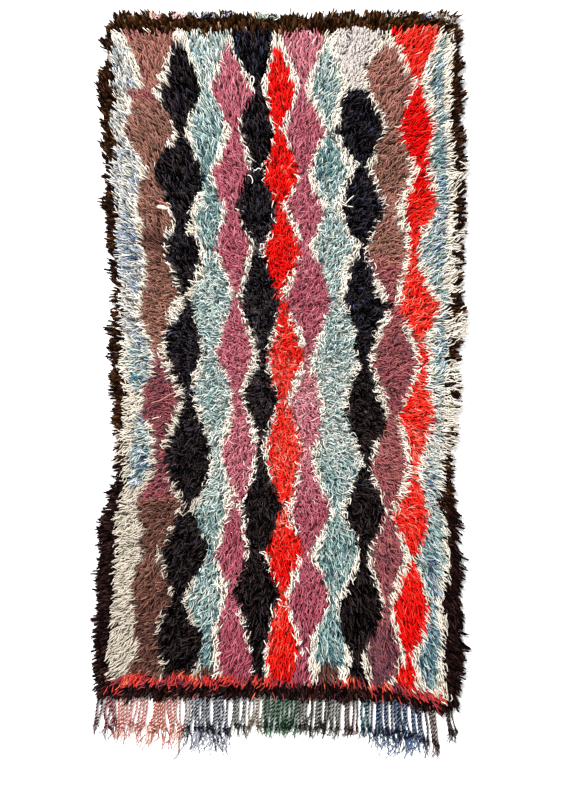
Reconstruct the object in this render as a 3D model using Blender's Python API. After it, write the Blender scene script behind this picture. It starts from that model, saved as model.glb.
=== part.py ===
# A boucherouite rug: a knotted shag pile on a narrow plain ground, with the loose warp ends
# left as a fringe at its lower end. It lies flat, pile up. X runs across the rug, Y along it
# towards the border end without a fringe, and Z is up from the floor.

import math
import random
from collections import namedtuple

import bmesh
import bpy
from mathutils import Vector
from mathutils.geometry import delaunay_2d_cdt, interpolate_bezier

PILE_HEIGHT = 0.030
LUMP_HEIGHT = 0.0030
WAVE_HEIGHT = 0.0011
LUMP_SPACING = 0.038
LUMP_JITTER = 0.009
ROLLS_ALONG = 17
ROLLS_ACROSS = 21
ROLL_BEND = 9
RIM_THICKNESS = 0.007
SHOULDER_RUN = 0.018
LUMPS_CLEAR_OF_EDGE = 0.024

TOP_EDGE = 1.264
TOP_EDGE_CROWN = 0.004
TOP_LEFT_CORNER = -0.580
TOP_RIGHT_CORNER = 0.578
EDGE_SAMPLES = 8

LOCK_PITCH = 0.037
LOCK_PITCH_SPREAD = 0.32
LOCK_LENGTH = 0.013
LOCK_LENGTH_SPREAD = 0.008
LONG_LOCK_LENGTH = 0.024
LONG_LOCK_EVERY = 9
LOCK_TIP_WIDTH = 0.008
LOCK_RIDGE_HEIGHT = 0.019
LOCK_VALLEY_HEIGHT = 0.013
LOCK_LEAN = 0.004
LOCK_LEAN_SPREAD = 0.004
LOCK_VALLEY_INSET = 0.004
LOCK_SHOULDER_INSET = 0.015

BOTTOM_STEP = 0.036
BOTTOM_WALL = 0.012

FRINGE_GAP = 0.00035
FRINGE_STRIP = 0.010
FRINGE_HEIGHT = 0.005
STRAND_WIDTH = 0.0060
STRAND_FILL = 0.66
STRAND_LENGTH_SPREAD = 0.14

# How far from the middle each side of the pile runs, at so many metres along the rug.
SideRow = namedtuple("SideRow", "along left right")
SIDE_ROWS = (
    SideRow(1.245, -0.608, 0.606),
    SideRow(1.160, -0.624, 0.620),
    SideRow(1.030, -0.637, 0.625),
    SideRow(0.920, -0.622, 0.620),
    SideRow(0.800, -0.626, 0.616),
    SideRow(0.640, -0.615, 0.621),
    SideRow(0.470, -0.597, 0.623),
    SideRow(0.280, -0.594, 0.612),
    SideRow(0.120, -0.588, 0.614),
    SideRow(-0.030, -0.582, 0.600),
    SideRow(-0.180, -0.576, 0.591),
    SideRow(-0.310, -0.574, 0.582),
    SideRow(-0.410, -0.592, 0.596),
    SideRow(-0.520, -0.636, 0.616),
    SideRow(-0.680, -0.644, 0.622),
    SideRow(-0.840, -0.649, 0.626),
    SideRow(-0.960, -0.654, 0.628),
    SideRow(-1.060, -0.648, 0.623),
    SideRow(-1.105, -0.642, 0.616),
)

# The level of the pile's lower end, which sags at its right corner.
EndRow = namedtuple("EndRow", "across level")
END_ROWS = (
    EndRow(-0.640, -1.118),
    EndRow(-0.450, -1.112),
    EndRow(-0.200, -1.114),
    EndRow(0.060, -1.112),
    EndRow(0.250, -1.120),
    EndRow(0.400, -1.124),
    EndRow(0.480, -1.150),
    EndRow(0.540, -1.178),
    EndRow(0.600, -1.166),
)

# Warp ends of one yarn, from so far left to so far right of the middle. The lean is how far
# aside their tips lie.
WarpGroup = namedtuple("WarpGroup", "name left right strands length lean colour")
WARP_GROUPS = (
    WarpGroup("fringe_grey", -0.640, -0.619, 2, 0.112, -0.018, (0.30, 0.24, 0.23)),
    WarpGroup("fringe_maroon", -0.615, -0.583, 3, 0.110, 0.006, (0.20, 0.04, 0.05)),
    WarpGroup("fringe_peach", -0.576, -0.470, 9, 0.112, -0.022, (0.67, 0.36, 0.29)),
    WarpGroup("fringe_salmon", -0.462, -0.354, 9, 0.130, 0.008, (0.69, 0.32, 0.23)),
    WarpGroup("fringe_dusky", -0.346, -0.322, 2, 0.125, -0.008, (0.29, 0.17, 0.15)),
    WarpGroup("fringe_navy", -0.316, -0.184, 12, 0.150, -0.004, (0.09, 0.11, 0.17)),
    WarpGroup("fringe_sage", -0.176, -0.122, 4, 0.118, -0.008, (0.24, 0.25, 0.22)),
    WarpGroup("fringe_beige", -0.112, -0.066, 4, 0.110, -0.010, (0.42, 0.37, 0.32)),
    WarpGroup("fringe_green", -0.058, 0.058, 10, 0.116, -0.012, (0.05, 0.11, 0.08)),
    WarpGroup("fringe_olive", 0.066, 0.206, 12, 0.114, -0.010, (0.17, 0.16, 0.13)),
    WarpGroup("fringe_russet", 0.214, 0.268, 4, 0.126, -0.006, (0.12, 0.05, 0.04)),
    WarpGroup("fringe_teal", 0.276, 0.304, 2, 0.114, -0.004, (0.06, 0.18, 0.18)),
    WarpGroup("fringe_blue", 0.312, 0.484, 14, 0.146, 0.004, (0.07, 0.12, 0.24)),
    WarpGroup("fringe_mauve", 0.492, 0.540, 4, 0.110, 0.022, (0.32, 0.22, 0.23)),
    WarpGroup("fringe_umber", 0.568, 0.600, 3, 0.108, 0.006, (0.06, 0.04, 0.04)),
)

# A strand's width at so much of its length: plied, knotted near its end, then loose.
StrandPart = namedtuple("StrandPart", "along width sway")
STRAND_PARTS = (
    StrandPart(0.00, 1.00, 0.0),
    StrandPart(0.38, 0.88, 1.0),
    StrandPart(0.74, 1.00, -0.6),
    StrandPart(1.00, 0.36, 0.4),
)
STRAND_SWAY = 0.0009
LEAN_BEND = 1.6
WELD = 0.00001
INSIDE_ONLY = 1

PILE_COLOUR = (0.21, 0.07, 0.08)
YARN_ROUGHNESS = 0.95

picker = random.Random(41)


def clear_scene():
    for item in list(bpy.data.objects):
        bpy.data.objects.remove(item, do_unlink=True)


def smooth_path(corners):
    """Points of a smooth open curve through the given points."""
    points = [Vector(c) for c in corners]
    befores = [points[0]] + points
    afters = points[2:] + [points[-1]]
    path = []
    for before, here, there, after in zip(befores, points, points[1:], afters):
        reach = (there - here).length / 3
        reach_out = here + (there - before).normalized() * reach
        reach_in = there - (after - here).normalized() * reach
        path += interpolate_bezier(here, reach_out, reach_in, there, EDGE_SAMPLES)[:-1]
    return path + [points[-1]]


def bottom_edge():
    """The lower end of the pile from left to right, in even steps."""
    path = smooth_path([(r.across, r.level) for r in END_ROWS])
    steps = round((END_ROWS[-1].across - END_ROWS[0].across) / BOTTOM_STEP)
    return [along_path(path, i / steps)[0] for i in range(steps + 1)]


def along_path(path, share):
    """The point and the direction at a share of a path's length."""
    lengths = [(b - a).length for a, b in zip(path, path[1:])]
    left = share * sum(lengths)
    for (a, b), length in zip(zip(path, path[1:]), lengths):
        if left <= length or b is path[-1]:
            return a.lerp(b, min(1.0, left / length)), (b - a).normalized()
        left -= length
    return path[-1], (path[-1] - path[-2]).normalized()


def locked_edge(lower):
    """The other three edges, up the right side, back along the top and down the left."""
    right = [(r.right, r.along) for r in reversed(SIDE_ROWS)]
    left = [(r.left, r.along) for r in SIDE_ROWS]
    top = [(TOP_RIGHT_CORNER, TOP_EDGE), (0.0, TOP_EDGE + TOP_EDGE_CROWN), (TOP_LEFT_CORNER, TOP_EDGE)]
    return smooth_path([tuple(lower[-1])] + right + top + left + [tuple(lower[0])])


def lock_places(path):
    """Shares of the path's length between one lock and the next, unevenly apart."""
    length = sum((b - a).length for a, b in zip(path, path[1:]))
    widths = []
    for _ in range(round(length / LOCK_PITCH)):
        widths.append(1 + picker.uniform(-LOCK_PITCH_SPREAD, LOCK_PITCH_SPREAD))
    places, run = [0.0], 0.0
    for width in widths:
        run += width / sum(widths)
        places.append(run)
    return places


def lock_points(path, start, end, number):
    """The outline of one lock, and its ridge and valley points with their heights."""
    root, along = along_path(path, start)
    middle, tangent = along_path(path, (start + end) / 2)
    inward = Vector((-along.y, along.x))
    outward = Vector((tangent.y, -tangent.x))
    length = LOCK_LENGTH + picker.uniform(-1, 1) * LOCK_LENGTH_SPREAD
    if number % LONG_LOCK_EVERY == 0:
        length = LONG_LOCK_LENGTH
    lean = Vector((middle.x, middle.y)) * LOCK_LEAN
    lean += tangent * picker.uniform(-1, 1) * LOCK_LEAN_SPREAD
    tip = middle + outward * length + lean
    half = tangent * LOCK_TIP_WIDTH / 2
    outline = [root + inward * LOCK_VALLEY_INSET, tip - half, tip + half]
    raised = [
        (root + inward * LOCK_SHOULDER_INSET, LOCK_VALLEY_HEIGHT),
        (middle + lean / 3, LOCK_RIDGE_HEIGHT),
    ]
    return outline, raised


def nearest_edge(point, outline):
    """How far a point is from the outline."""
    best = 9.0
    for a, b in zip(outline, outline[1:] + outline[:1]):
        side = b - a
        share = max(0.0, min(1.0, (point - a).dot(side) / side.length_squared))
        best = min(best, (point - a - side * share).length)
    return best


def inside(point, outline):
    """Whether a point is within the outline."""
    crossings = 0
    for a, b in zip(outline, outline[1:] + outline[:1]):
        if (a.y > point.y) != (b.y > point.y):
            crossings += point.x < a.x + (b.x - a.x) * (point.y - a.y) / (b.y - a.y)
    return crossings % 2 == 1


def pile_height(point, depth):
    """The height of the pile so far in from its edge, with soft uneven lumps."""
    rise = 1 - math.exp(-depth / SHOULDER_RUN)
    wave = math.sin(point.x * ROLLS_ACROSS + 2 * math.sin(point.y * ROLL_BEND))
    wave += math.sin(point.y * ROLLS_ALONG + 2 * math.cos(point.x * ROLL_BEND))
    lumps = WAVE_HEIGHT * wave + LUMP_HEIGHT * picker.uniform(-1, 1)
    return RIM_THICKNESS + (PILE_HEIGHT - RIM_THICKNESS + lumps) * rise


def lump_points(outline):
    """The pile's lumps, in uneven rows all over its inside."""
    low = Vector((min(p.x for p in outline), min(p.y for p in outline)))
    high = Vector((max(p.x for p in outline), max(p.y for p in outline)))
    lumps = []
    for row in range(int((high.y - low.y) / LUMP_SPACING) + 1):
        for column in range(int((high.x - low.x) / LUMP_SPACING) + 1):
            stagger = 0.5 * (row % 2)
            point = low + Vector((column + stagger, row)) * LUMP_SPACING
            point += Vector((picker.uniform(-1, 1), picker.uniform(-1, 1))) * LUMP_JITTER
            depth = nearest_edge(point, outline)
            if depth > LUMPS_CLEAR_OF_EDGE and inside(point, outline):
                lumps.append((point, pile_height(point, depth)))
    return lumps


def new_material(name, colour):
    material = bpy.data.materials.new(name)
    material.use_nodes = True
    shader = material.node_tree.nodes["Principled BSDF"]
    shader.inputs["Base Color"].default_value = (*colour, 1.0)
    shader.inputs["Roughness"].default_value = YARN_ROUGHNESS
    shader.inputs["Metallic"].default_value = 0.0
    return material


def add_object(name, form, colour, frame):
    mesh = bpy.data.meshes.new(name)
    form.to_mesh(mesh)
    form.free()
    mesh.materials.append(new_material(name, colour))
    item = bpy.data.objects.new(name, mesh)
    item.parent = frame
    bpy.context.scene.collection.objects.link(item)
    return item


def triangles_within(outline, raised):
    """The triangles of a flat outline with more points inside it."""
    flat = outline + [p for p, _ in raised]
    ring = [list(range(len(outline)))]
    points, _, faces, origins, _, _ = delaunay_2d_cdt(flat, [], ring, INSIDE_ONLY, WELD)
    return points, faces, [o[0] for o in origins]


def rug_pile(lower, frame):
    """The lumpy slab of the pile, flat underneath, with its locks around three edges."""
    path = locked_edge(lower)
    places = lock_places(path)
    outline, raised = list(lower), []
    heights = [BOTTOM_WALL] * len(lower)
    for number, (start, end) in enumerate(zip(places, places[1:])):
        lock, bumps = lock_points(path, start, end, number)
        if number == 0:
            lock = lock[1:]
            bumps = bumps[1:]
        outline += lock
        heights += [RIM_THICKNESS] * len(lock)
        raised += bumps
    raised += lump_points(outline)
    heights += [height for _, height in raised]
    form = bmesh.new()
    points, faces, origins = triangles_within(outline, raised)
    upper = [form.verts.new((p.x, p.y, heights[o])) for p, o in zip(points, origins)]
    for face in faces:
        form.faces.new([upper[i] for i in face])
    rim = {o: upper[i] for i, o in enumerate(origins) if o < len(outline)}
    points, faces, origins = triangles_within(outline, [])
    under = [form.verts.new((p.x, p.y, 0.0)) for p in points]
    for face in faces:
        form.faces.new([under[i] for i in reversed(face)])
    foot = {o: under[i] for i, o in enumerate(origins)}
    for i in range(len(outline)):
        j = (i + 1) % len(outline)
        form.faces.new((foot[i], foot[j], rim[j], rim[i]))
    print("locks", len(places) - 1, "triangles", sum(len(f.verts) - 2 for f in form.faces))
    return add_object("rug_pile", form, PILE_COLOUR, frame)


def level_at(lower, across):
    """The level of the pile's lower end at a place across the rug."""
    for a, b in zip(lower, lower[1:]):
        if across <= b.x:
            return a.y + (b.y - a.y) * (across - a.x) / (b.x - a.x)
    return lower[-1].y


def lean_at(across):
    """The sideways reach of the warp ends' tips, shared between neighbouring groups."""
    middles = [((g.left + g.right) / 2, g.lean) for g in WARP_GROUPS]
    if across <= middles[0][0]:
        return middles[0][1]
    for (a, lean), (b, other) in zip(middles, middles[1:]):
        if across <= b:
            return lean + (other - lean) * (across - a) / (b - a)
    return middles[-1][1]


def strand_sides(root, length, pitch, sway):
    """The two sides of one warp end that lies flat, from its root down."""
    width = min(STRAND_WIDTH, STRAND_FILL * pitch)
    left, right = [], []
    for part in STRAND_PARTS:
        aside = lean_at(root.x) * part.along ** LEAN_BEND + sway * part.sway
        middle = root + Vector((aside, -length * part.along))
        half = Vector((width * part.width / 2, 0.0))
        left.append(middle - half)
        right.append(middle + half)
    return left, right


def fringe_group(group, lower, frame):
    """A narrow woven strip with its warp ends, lying on the floor below the pile."""
    pitch = (group.right - group.left) / group.strands
    top = [Vector((group.left, level_at(lower, group.left) - FRINGE_GAP))]
    for point in lower:
        if group.left + FRINGE_GAP < point.x < group.right - FRINGE_GAP:
            top.append(point - Vector((0.0, FRINGE_GAP)))
    top += [Vector((group.right, level_at(lower, group.right) - FRINGE_GAP))]
    outline = []
    for i in range(group.strands):
        across = group.left + (i + 0.5) * pitch
        root = Vector((across, level_at(lower, across) - FRINGE_GAP - FRINGE_STRIP))
        length = group.length * (1 + picker.uniform(-1, 1) * STRAND_LENGTH_SPREAD)
        sway = picker.uniform(-1, 1) * STRAND_SWAY
        left, right = strand_sides(root, length, pitch, sway)
        outline += left + list(reversed(right))
    ends = Vector((0.0, FRINGE_STRIP))
    outline = [top[0] - ends] + outline + [top[-1] - ends] + list(reversed(top))
    form = bmesh.new()
    points, faces, origins = triangles_within(outline, [])
    foot = [form.verts.new((p.x, p.y, 0.0)) for p in points]
    head = [form.verts.new((p.x, p.y, FRINGE_HEIGHT)) for p in points]
    for face in faces:
        form.faces.new([foot[i] for i in reversed(face)])
        form.faces.new([head[i] for i in face])
    order = {o: i for i, o in enumerate(origins)}
    for i in range(len(outline)):
        a, b = order[i], order[(i + 1) % len(outline)]
        form.faces.new((foot[a], foot[b], head[b], head[a]))
    return add_object(group.name, form, group.colour, frame)


def centre_on_floor(frame):
    """Moves the rug so that the middle of its box is over the origin."""
    corners = [v.co for o in frame.children for v in o.data.vertices]
    for axis in (0, 1):
        low = min(c[axis] for c in corners)
        high = max(c[axis] for c in corners)
        frame.location[axis] = -(low + high) / 2


def build_rug():
    clear_scene()
    frame = bpy.data.objects.new("rug_frame", None)
    bpy.context.scene.collection.objects.link(frame)
    lower = bottom_edge()
    rug_pile(lower, frame)
    for group in WARP_GROUPS:
        fringe_group(group, lower, frame)
    centre_on_floor(frame)


build_rug()
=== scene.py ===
import math

import bpy
import numpy as np
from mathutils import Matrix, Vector


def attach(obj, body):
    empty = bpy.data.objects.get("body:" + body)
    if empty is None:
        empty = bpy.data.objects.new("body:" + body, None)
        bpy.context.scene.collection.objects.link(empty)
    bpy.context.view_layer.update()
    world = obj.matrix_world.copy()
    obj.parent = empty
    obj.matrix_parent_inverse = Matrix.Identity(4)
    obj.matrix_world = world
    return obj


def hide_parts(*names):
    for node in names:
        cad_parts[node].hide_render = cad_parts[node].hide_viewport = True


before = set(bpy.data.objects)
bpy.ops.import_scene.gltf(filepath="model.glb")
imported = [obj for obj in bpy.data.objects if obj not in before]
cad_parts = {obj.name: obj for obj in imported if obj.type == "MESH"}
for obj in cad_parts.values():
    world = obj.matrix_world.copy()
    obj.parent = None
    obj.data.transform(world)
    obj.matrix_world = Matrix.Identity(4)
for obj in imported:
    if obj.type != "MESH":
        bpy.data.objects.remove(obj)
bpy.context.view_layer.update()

rng = np.random.default_rng(11)
bpy.ops.object.select_all(action="DESELECT")

# The pattern is charted in steps across and down from the upper left. The origin is at so many steps.
chart = {"step": 0.0035, "across": 279.4, "down": 381.5}


def toAcross(x):
    return chart["across"] + x / chart["step"]


def toDown(y):
    return chart["down"] - y / chart["step"]


def fromAcross(across):
    return (across - chart["across"]) * chart["step"]


def fromDown(down):
    return (chart["down"] - down) * chart["step"]


# Colours

def linear(code):
    parts = [int(code[i:i + 2], 16) / 255 for i in (1, 3, 5)]
    return [p / 12.92 if p <= 0.04045 else ((p + 0.055) / 1.055) ** 2.4 for p in parts] + [1.0]


def addNode(material, kind, **values):
    node = material.node_tree.nodes.new(kind)
    for socket, value in values.items():
        node.inputs[socket.replace("_", " ")].default_value = value
    return node


# The surface of spun yarn, and up to what share of a strand the painted shade at its root holds
spun = {"roughness": 0.75, "fuzzScale": 620.0, "fuzzDetail": 2.0, "fuzzStrength": 0.35,
        "fuzzHeight": 0.0006, "rootEnd": 0.1}


def yarnMaterial(name, ramp, gloss, rootShade):
    # its tone comes from the strand, with fine fuzz; painted shade darkens it towards the root and the
    # strand's painted light scales it, both read from 'along'
    material = bpy.data.materials.new(name)
    material.use_nodes = True
    link = material.node_tree.links.new
    shader = material.node_tree.nodes["Principled BSDF"]
    shader.inputs["Roughness"].default_value = spun["roughness"]
    shader.inputs["Specular IOR Level"].default_value = gloss
    tone = addNode(material, "ShaderNodeAttribute")
    tone.attribute_name = "tone"
    colours = addNode(material, "ShaderNodeValToRGB")
    stops = colours.color_ramp.elements
    stops[0].position, stops[0].color = ramp[0][0], linear(ramp[0][1])
    stops[1].position, stops[1].color = ramp[-1][0], linear(ramp[-1][1])
    for place, code in ramp[1:-1]:
        stops.new(place).color = linear(code)
    link(tone.outputs["Fac"], colours.inputs["Fac"])
    along = addNode(material, "ShaderNodeAttribute")
    along.attribute_name = "along"
    # painted shade and light: 'along' becomes a share of the colour, from rootShade at the root up to all
    # of it
    shade = addNode(material, "ShaderNodeMapRange", From_Min=spun["rootEnd"], From_Max=1.0,
                    To_Min=rootShade, To_Max=1.0)
    link(along.outputs["Fac"], shade.inputs["Value"])
    mix = addNode(material, "ShaderNodeMix")
    mix.data_type = "RGBA"
    mix.blend_type = "MULTIPLY"
    mix.inputs["Factor"].default_value = 1.0
    link(colours.outputs["Color"], mix.inputs["A"])
    link(shade.outputs["Result"], mix.inputs["B"])
    link(mix.outputs["Result"], shader.inputs["Base Color"])
    place = addNode(material, "ShaderNodeTexCoord")
    fuzz = addNode(material, "ShaderNodeTexNoise", Scale=spun["fuzzScale"], Detail=spun["fuzzDetail"])
    link(place.outputs["Object"], fuzz.inputs["Vector"])
    bump = addNode(material, "ShaderNodeBump", Strength=spun["fuzzStrength"], Distance=spun["fuzzHeight"])
    link(fuzz.outputs["Fac"], bump.inputs["Height"])
    link(bump.outputs["Normal"], shader.inputs["Normal"])
    return material


# The columns of lozenges and the lone patches, read at their necks and widest rows

columns = [
    {"yarn": "black",
     "down": (41, 60, 78, 88, 100, 115, 130, 143, 153, 172, 188, 205, 228, 240,
              258, 275, 294, 305, 318, 330, 355, 372, 390, 408, 425, 452, 475, 490,
              510, 518, 535, 550, 580, 598, 612, 620, 635, 650, 665, 681),
     "left": (173, 171, 168, 159, 161, 170, 177, 173, 160, 153, 160, 170, 177, 165,
              165, 174, 180, 184, 177, 165, 165, 171, 183, 182, 175, 163, 166, 178,
              184, 173, 171, 161, 166, 173, 163, 163, 155, 156, 163, 163),
     "right": (180, 190, 198, 201, 196, 188, 183, 190, 192, 202, 200, 190, 184, 195,
               200, 194, 184, 190, 192, 197, 202, 191, 190, 194, 199, 210, 207, 202,
               188, 195, 200, 209, 194, 180, 186, 184, 202, 200, 194, 185)},
    {"yarn": "black",
     "down": (29, 48, 64, 80, 90, 102, 128, 150, 168, 176, 206, 222, 240,
              250, 270, 302, 325, 342, 355, 362, 368, 376, 396, 415, 430, 450,
              470, 486, 506, 530, 556, 575, 598, 620, 640, 651, 666, 684),
     "left": (232, 234, 243, 251, 255, 247, 240, 248, 253, 245, 237, 242, 252,
              255, 249, 240, 250, 256, 259, 256, 259, 250, 243, 250, 257, 258,
              256, 250, 241, 248, 250, 239, 233, 243, 249, 253, 252, 250),
     "right": (270, 270, 267, 262, 260, 265, 272, 271, 260, 265, 275, 272, 265,
               262, 269, 280, 274, 268, 264, 268, 264, 271, 277, 273, 267, 262,
               267, 273, 283, 274, 264, 271, 279, 271, 266, 262, 262, 266)},
    {"yarn": "black",
     "down": (88, 102, 120, 130, 140, 164, 180, 208, 225, 245, 270, 300, 306, 314, 328, 347, 362,
              380, 415, 432, 446, 466, 480, 505, 518, 540, 562, 575, 590, 611, 640, 655, 668, 684),
     "left": (350, 343, 342, 333, 343, 359, 349, 343, 349, 361, 351, 346, 348, 350, 358, 355, 364,
              354, 346, 354, 361, 364, 357, 349, 347, 357, 362, 357, 349, 340, 343, 353, 352, 346),
     "right": (363, 374, 382, 386, 378, 366, 374, 386, 376, 366, 371, 381, 397, 384, 378, 373, 369,
               373, 385, 388, 374, 369, 372, 383, 385, 374, 367, 372, 376, 384, 373, 363, 363, 370)},
    {"yarn": "red",
     "down": (46, 70, 92, 110, 126, 145, 170, 192, 205, 225, 250, 275, 293, 308, 330, 355,
              380, 402, 412, 430, 450, 475, 498, 512, 525, 552, 580, 598, 615, 650, 672, 686),
     "left": (273, 270, 267, 270, 275, 273, 265, 272, 277, 273, 265, 271, 277, 280, 277, 268,
              274, 280, 276, 272, 267, 272, 278, 283, 274, 266, 274, 280, 275, 267, 268, 268),
     "right": (280, 289, 296, 288, 279, 289, 299, 291, 282, 293, 301, 290, 281, 289, 294, 305,
               294, 284, 292, 296, 302, 297, 291, 287, 289, 304, 291, 286, 288, 301, 292, 290)},
    {"yarn": "red",
     "down": (22, 30, 48, 65, 80, 95, 128, 150, 168, 190, 210, 228, 248, 268, 290, 307, 330,
              345, 357, 368, 390, 418, 445, 471, 490, 520, 545, 560, 580, 612, 640, 660, 680, 690),
     "left": (396, 390, 403, 408, 419, 412, 400, 408, 420, 411, 405, 411, 412, 408, 403, 402, 412,
              418, 419, 422, 413, 402, 410, 413, 407, 395, 408, 412, 405, 393, 401, 409, 396, 403),
     "right": (440, 440, 434, 425, 421, 425, 437, 429, 430, 435, 438, 423, 418, 421, 430, 442, 430,
               426, 433, 427, 431, 436, 426, 418, 423, 430, 424, 416, 421, 430, 423, 412, 417, 416)},
    {"yarn": "plum",
     "down": (43, 65, 80, 92, 112, 130, 150, 173, 190, 206, 225, 248, 270, 293, 305, 325, 352,
              372, 392, 415, 435, 450, 475, 492, 505, 520, 545, 560, 580, 592, 612, 640, 660, 681),
     "left": (225, 221, 213, 212, 223, 230, 223, 212, 218, 226, 222, 215, 225, 232, 231, 225, 215,
              224, 232, 231, 230, 222, 226, 236, 231, 228, 222, 215, 226, 228, 221, 217, 218, 221),
     "right": (230, 238, 246, 253, 243, 236, 244, 249, 243, 234, 242, 250, 244, 237, 239, 245, 252,
               247, 238, 247, 250, 256, 251, 246, 236, 242, 245, 246, 239, 232, 238, 244, 252, 246)},
    {"yarn": "plum",
     "down": (28, 40, 60, 74, 84, 100, 128, 150, 175, 190, 207, 228, 245, 265, 303, 328,
              352, 368, 385, 408, 435, 452, 480, 510, 535, 556, 580, 605, 630, 652, 675, 684),
     "left": (274, 284, 290, 298, 301, 295, 286, 291, 302, 296, 288, 301, 302, 297, 286, 302,
              306, 305, 300, 290, 299, 303, 300, 291, 297, 303, 300, 287, 299, 302, 291, 293),
     "right": (325, 322, 316, 309, 305, 310, 325, 315, 308, 313, 325, 318, 309, 320, 332, 322,
               312, 310, 318, 322, 322, 310, 316, 332, 320, 309, 324, 328, 317, 308, 309, 308)},
    {"yarn": "umber",
     "down": (29, 60, 85, 91, 98, 116, 127, 148, 169, 180, 205, 222, 240, 256, 290, 318, 336, 350,
              368, 390, 415, 425, 445, 460, 478, 505, 530, 548, 556, 580, 600, 625, 655, 666, 676),
     "left": (119, 137, 141, 126, 132, 129, 121, 133, 147, 139, 136, 143, 138, 147, 143, 137, 148, 151,
              151, 143, 140, 151, 152, 153, 151, 134, 141, 137, 142, 131, 130, 133, 137, 128, 128),
     "right": (176, 166, 156, 152, 157, 170, 171, 166, 152, 156, 167, 170, 161, 163, 176, 166, 162, 157,
               161, 176, 173, 167, 161, 165, 165, 178, 169, 162, 156, 163, 170, 154, 156, 160, 160)},
    {"yarn": "umber",
     "down": (45, 60, 80, 100, 128, 145, 172, 205, 225, 252, 275, 298, 312, 332,
              364, 390, 416, 435, 470, 500, 512, 530, 558, 590, 610, 630, 656, 687),
     "left": (386, 372, 366, 378, 390, 376, 374, 388, 378, 369, 378, 389, 395, 384,
              373, 385, 391, 384, 372, 383, 387, 382, 372, 381, 386, 376, 369, 371),
     "right": (396, 402, 414, 408, 399, 405, 412, 398, 400, 409, 401, 396, 406, 407,
               418, 409, 399, 402, 409, 398, 392, 397, 404, 395, 390, 394, 402, 391)},
    {"yarn": "umber", "down": (669, 679), "left": (196, 198), "right": (214, 212)},
    {"yarn": "umber", "down": (669, 684), "left": (320, 317), "right": (339, 342)},
    {"yarn": "teal",
     "down": (30, 45, 70, 88, 98, 112, 130, 148, 165, 180, 200, 215, 235, 256, 275, 303, 325,
              350, 370, 390, 412, 440, 458, 480, 505, 525, 548, 575, 600, 618, 638, 655, 669),
     "left": (183, 188, 197, 200, 196, 192, 189, 192, 200, 200, 202, 194, 197, 205, 199, 187, 195,
              203, 200, 190, 200, 205, 213, 208, 196, 196, 208, 195, 186, 190, 203, 198, 195),
     "right": (231, 226, 215, 210, 216, 222, 224, 220, 212, 210, 222, 221, 219, 215, 224, 233, 223,
               215, 221, 232, 228, 222, 220, 226, 224, 222, 215, 217, 222, 219, 210, 214, 214)},
    {"yarn": "teal",
     "down": (46, 62, 80, 95, 112, 126, 140, 170, 190, 204, 218, 245, 270, 300, 322,
              350, 368, 390, 408, 432, 465, 490, 514, 535, 555, 580, 599, 620, 655, 669),
     "left": (324, 317, 311, 315, 322, 327, 323, 312, 321, 328, 321, 314, 321, 330, 326,
              317, 314, 322, 325, 320, 316, 323, 334, 324, 316, 324, 332, 322, 314, 318),
     "right": (330, 336, 342, 341, 336, 331, 337, 349, 342, 334, 341, 354, 344, 341, 353,
               357, 356, 348, 344, 354, 361, 353, 340, 354, 360, 348, 337, 341, 347, 347)},
    {"yarn": "teal",
     "down": (30, 55, 80, 105, 125, 160, 195, 215, 245, 275, 305, 325,
              350, 385, 415, 450, 485, 525, 562, 590, 610, 640, 665, 692),
     "left": (444, 436, 428, 436, 438, 433, 438, 437, 421, 430, 443, 437,
              433, 434, 436, 428, 425, 429, 417, 425, 431, 426, 416, 430),
     "right": (450, 446, 447, 447, 447, 450, 451, 452, 449, 447, 450, 448,
               451, 447, 448, 444, 441, 446, 446, 444, 438, 445, 441, 437)},
    {"yarn": "teal",
     "down": (340, 360, 375, 395, 410, 420, 445, 460, 475, 485, 492),
     "left": (128, 122, 124, 134, 135, 132, 130, 128, 125, 124, 128),
     "right": (146, 150, 149, 137, 138, 146, 150, 149, 147, 140, 131)},
    {"yarn": "chalk",
     "down": (28, 48, 62, 80, 87),
     "left": (338, 339, 341, 347, 351),
     "right": (380, 375, 367, 362, 359)},
    {"yarn": "pale",
     "down": (32, 45, 60, 75, 90, 95, 110, 121, 130, 145,
              160, 185, 195, 205, 230, 260, 290, 300, 315, 340),
     "left": (105,) * 20,
     "right": (112, 125, 130, 134, 133, 124, 128, 121, 121, 132,
               138, 138, 136, 130, 136, 143, 140, 133, 133, 146)},
]

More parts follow.
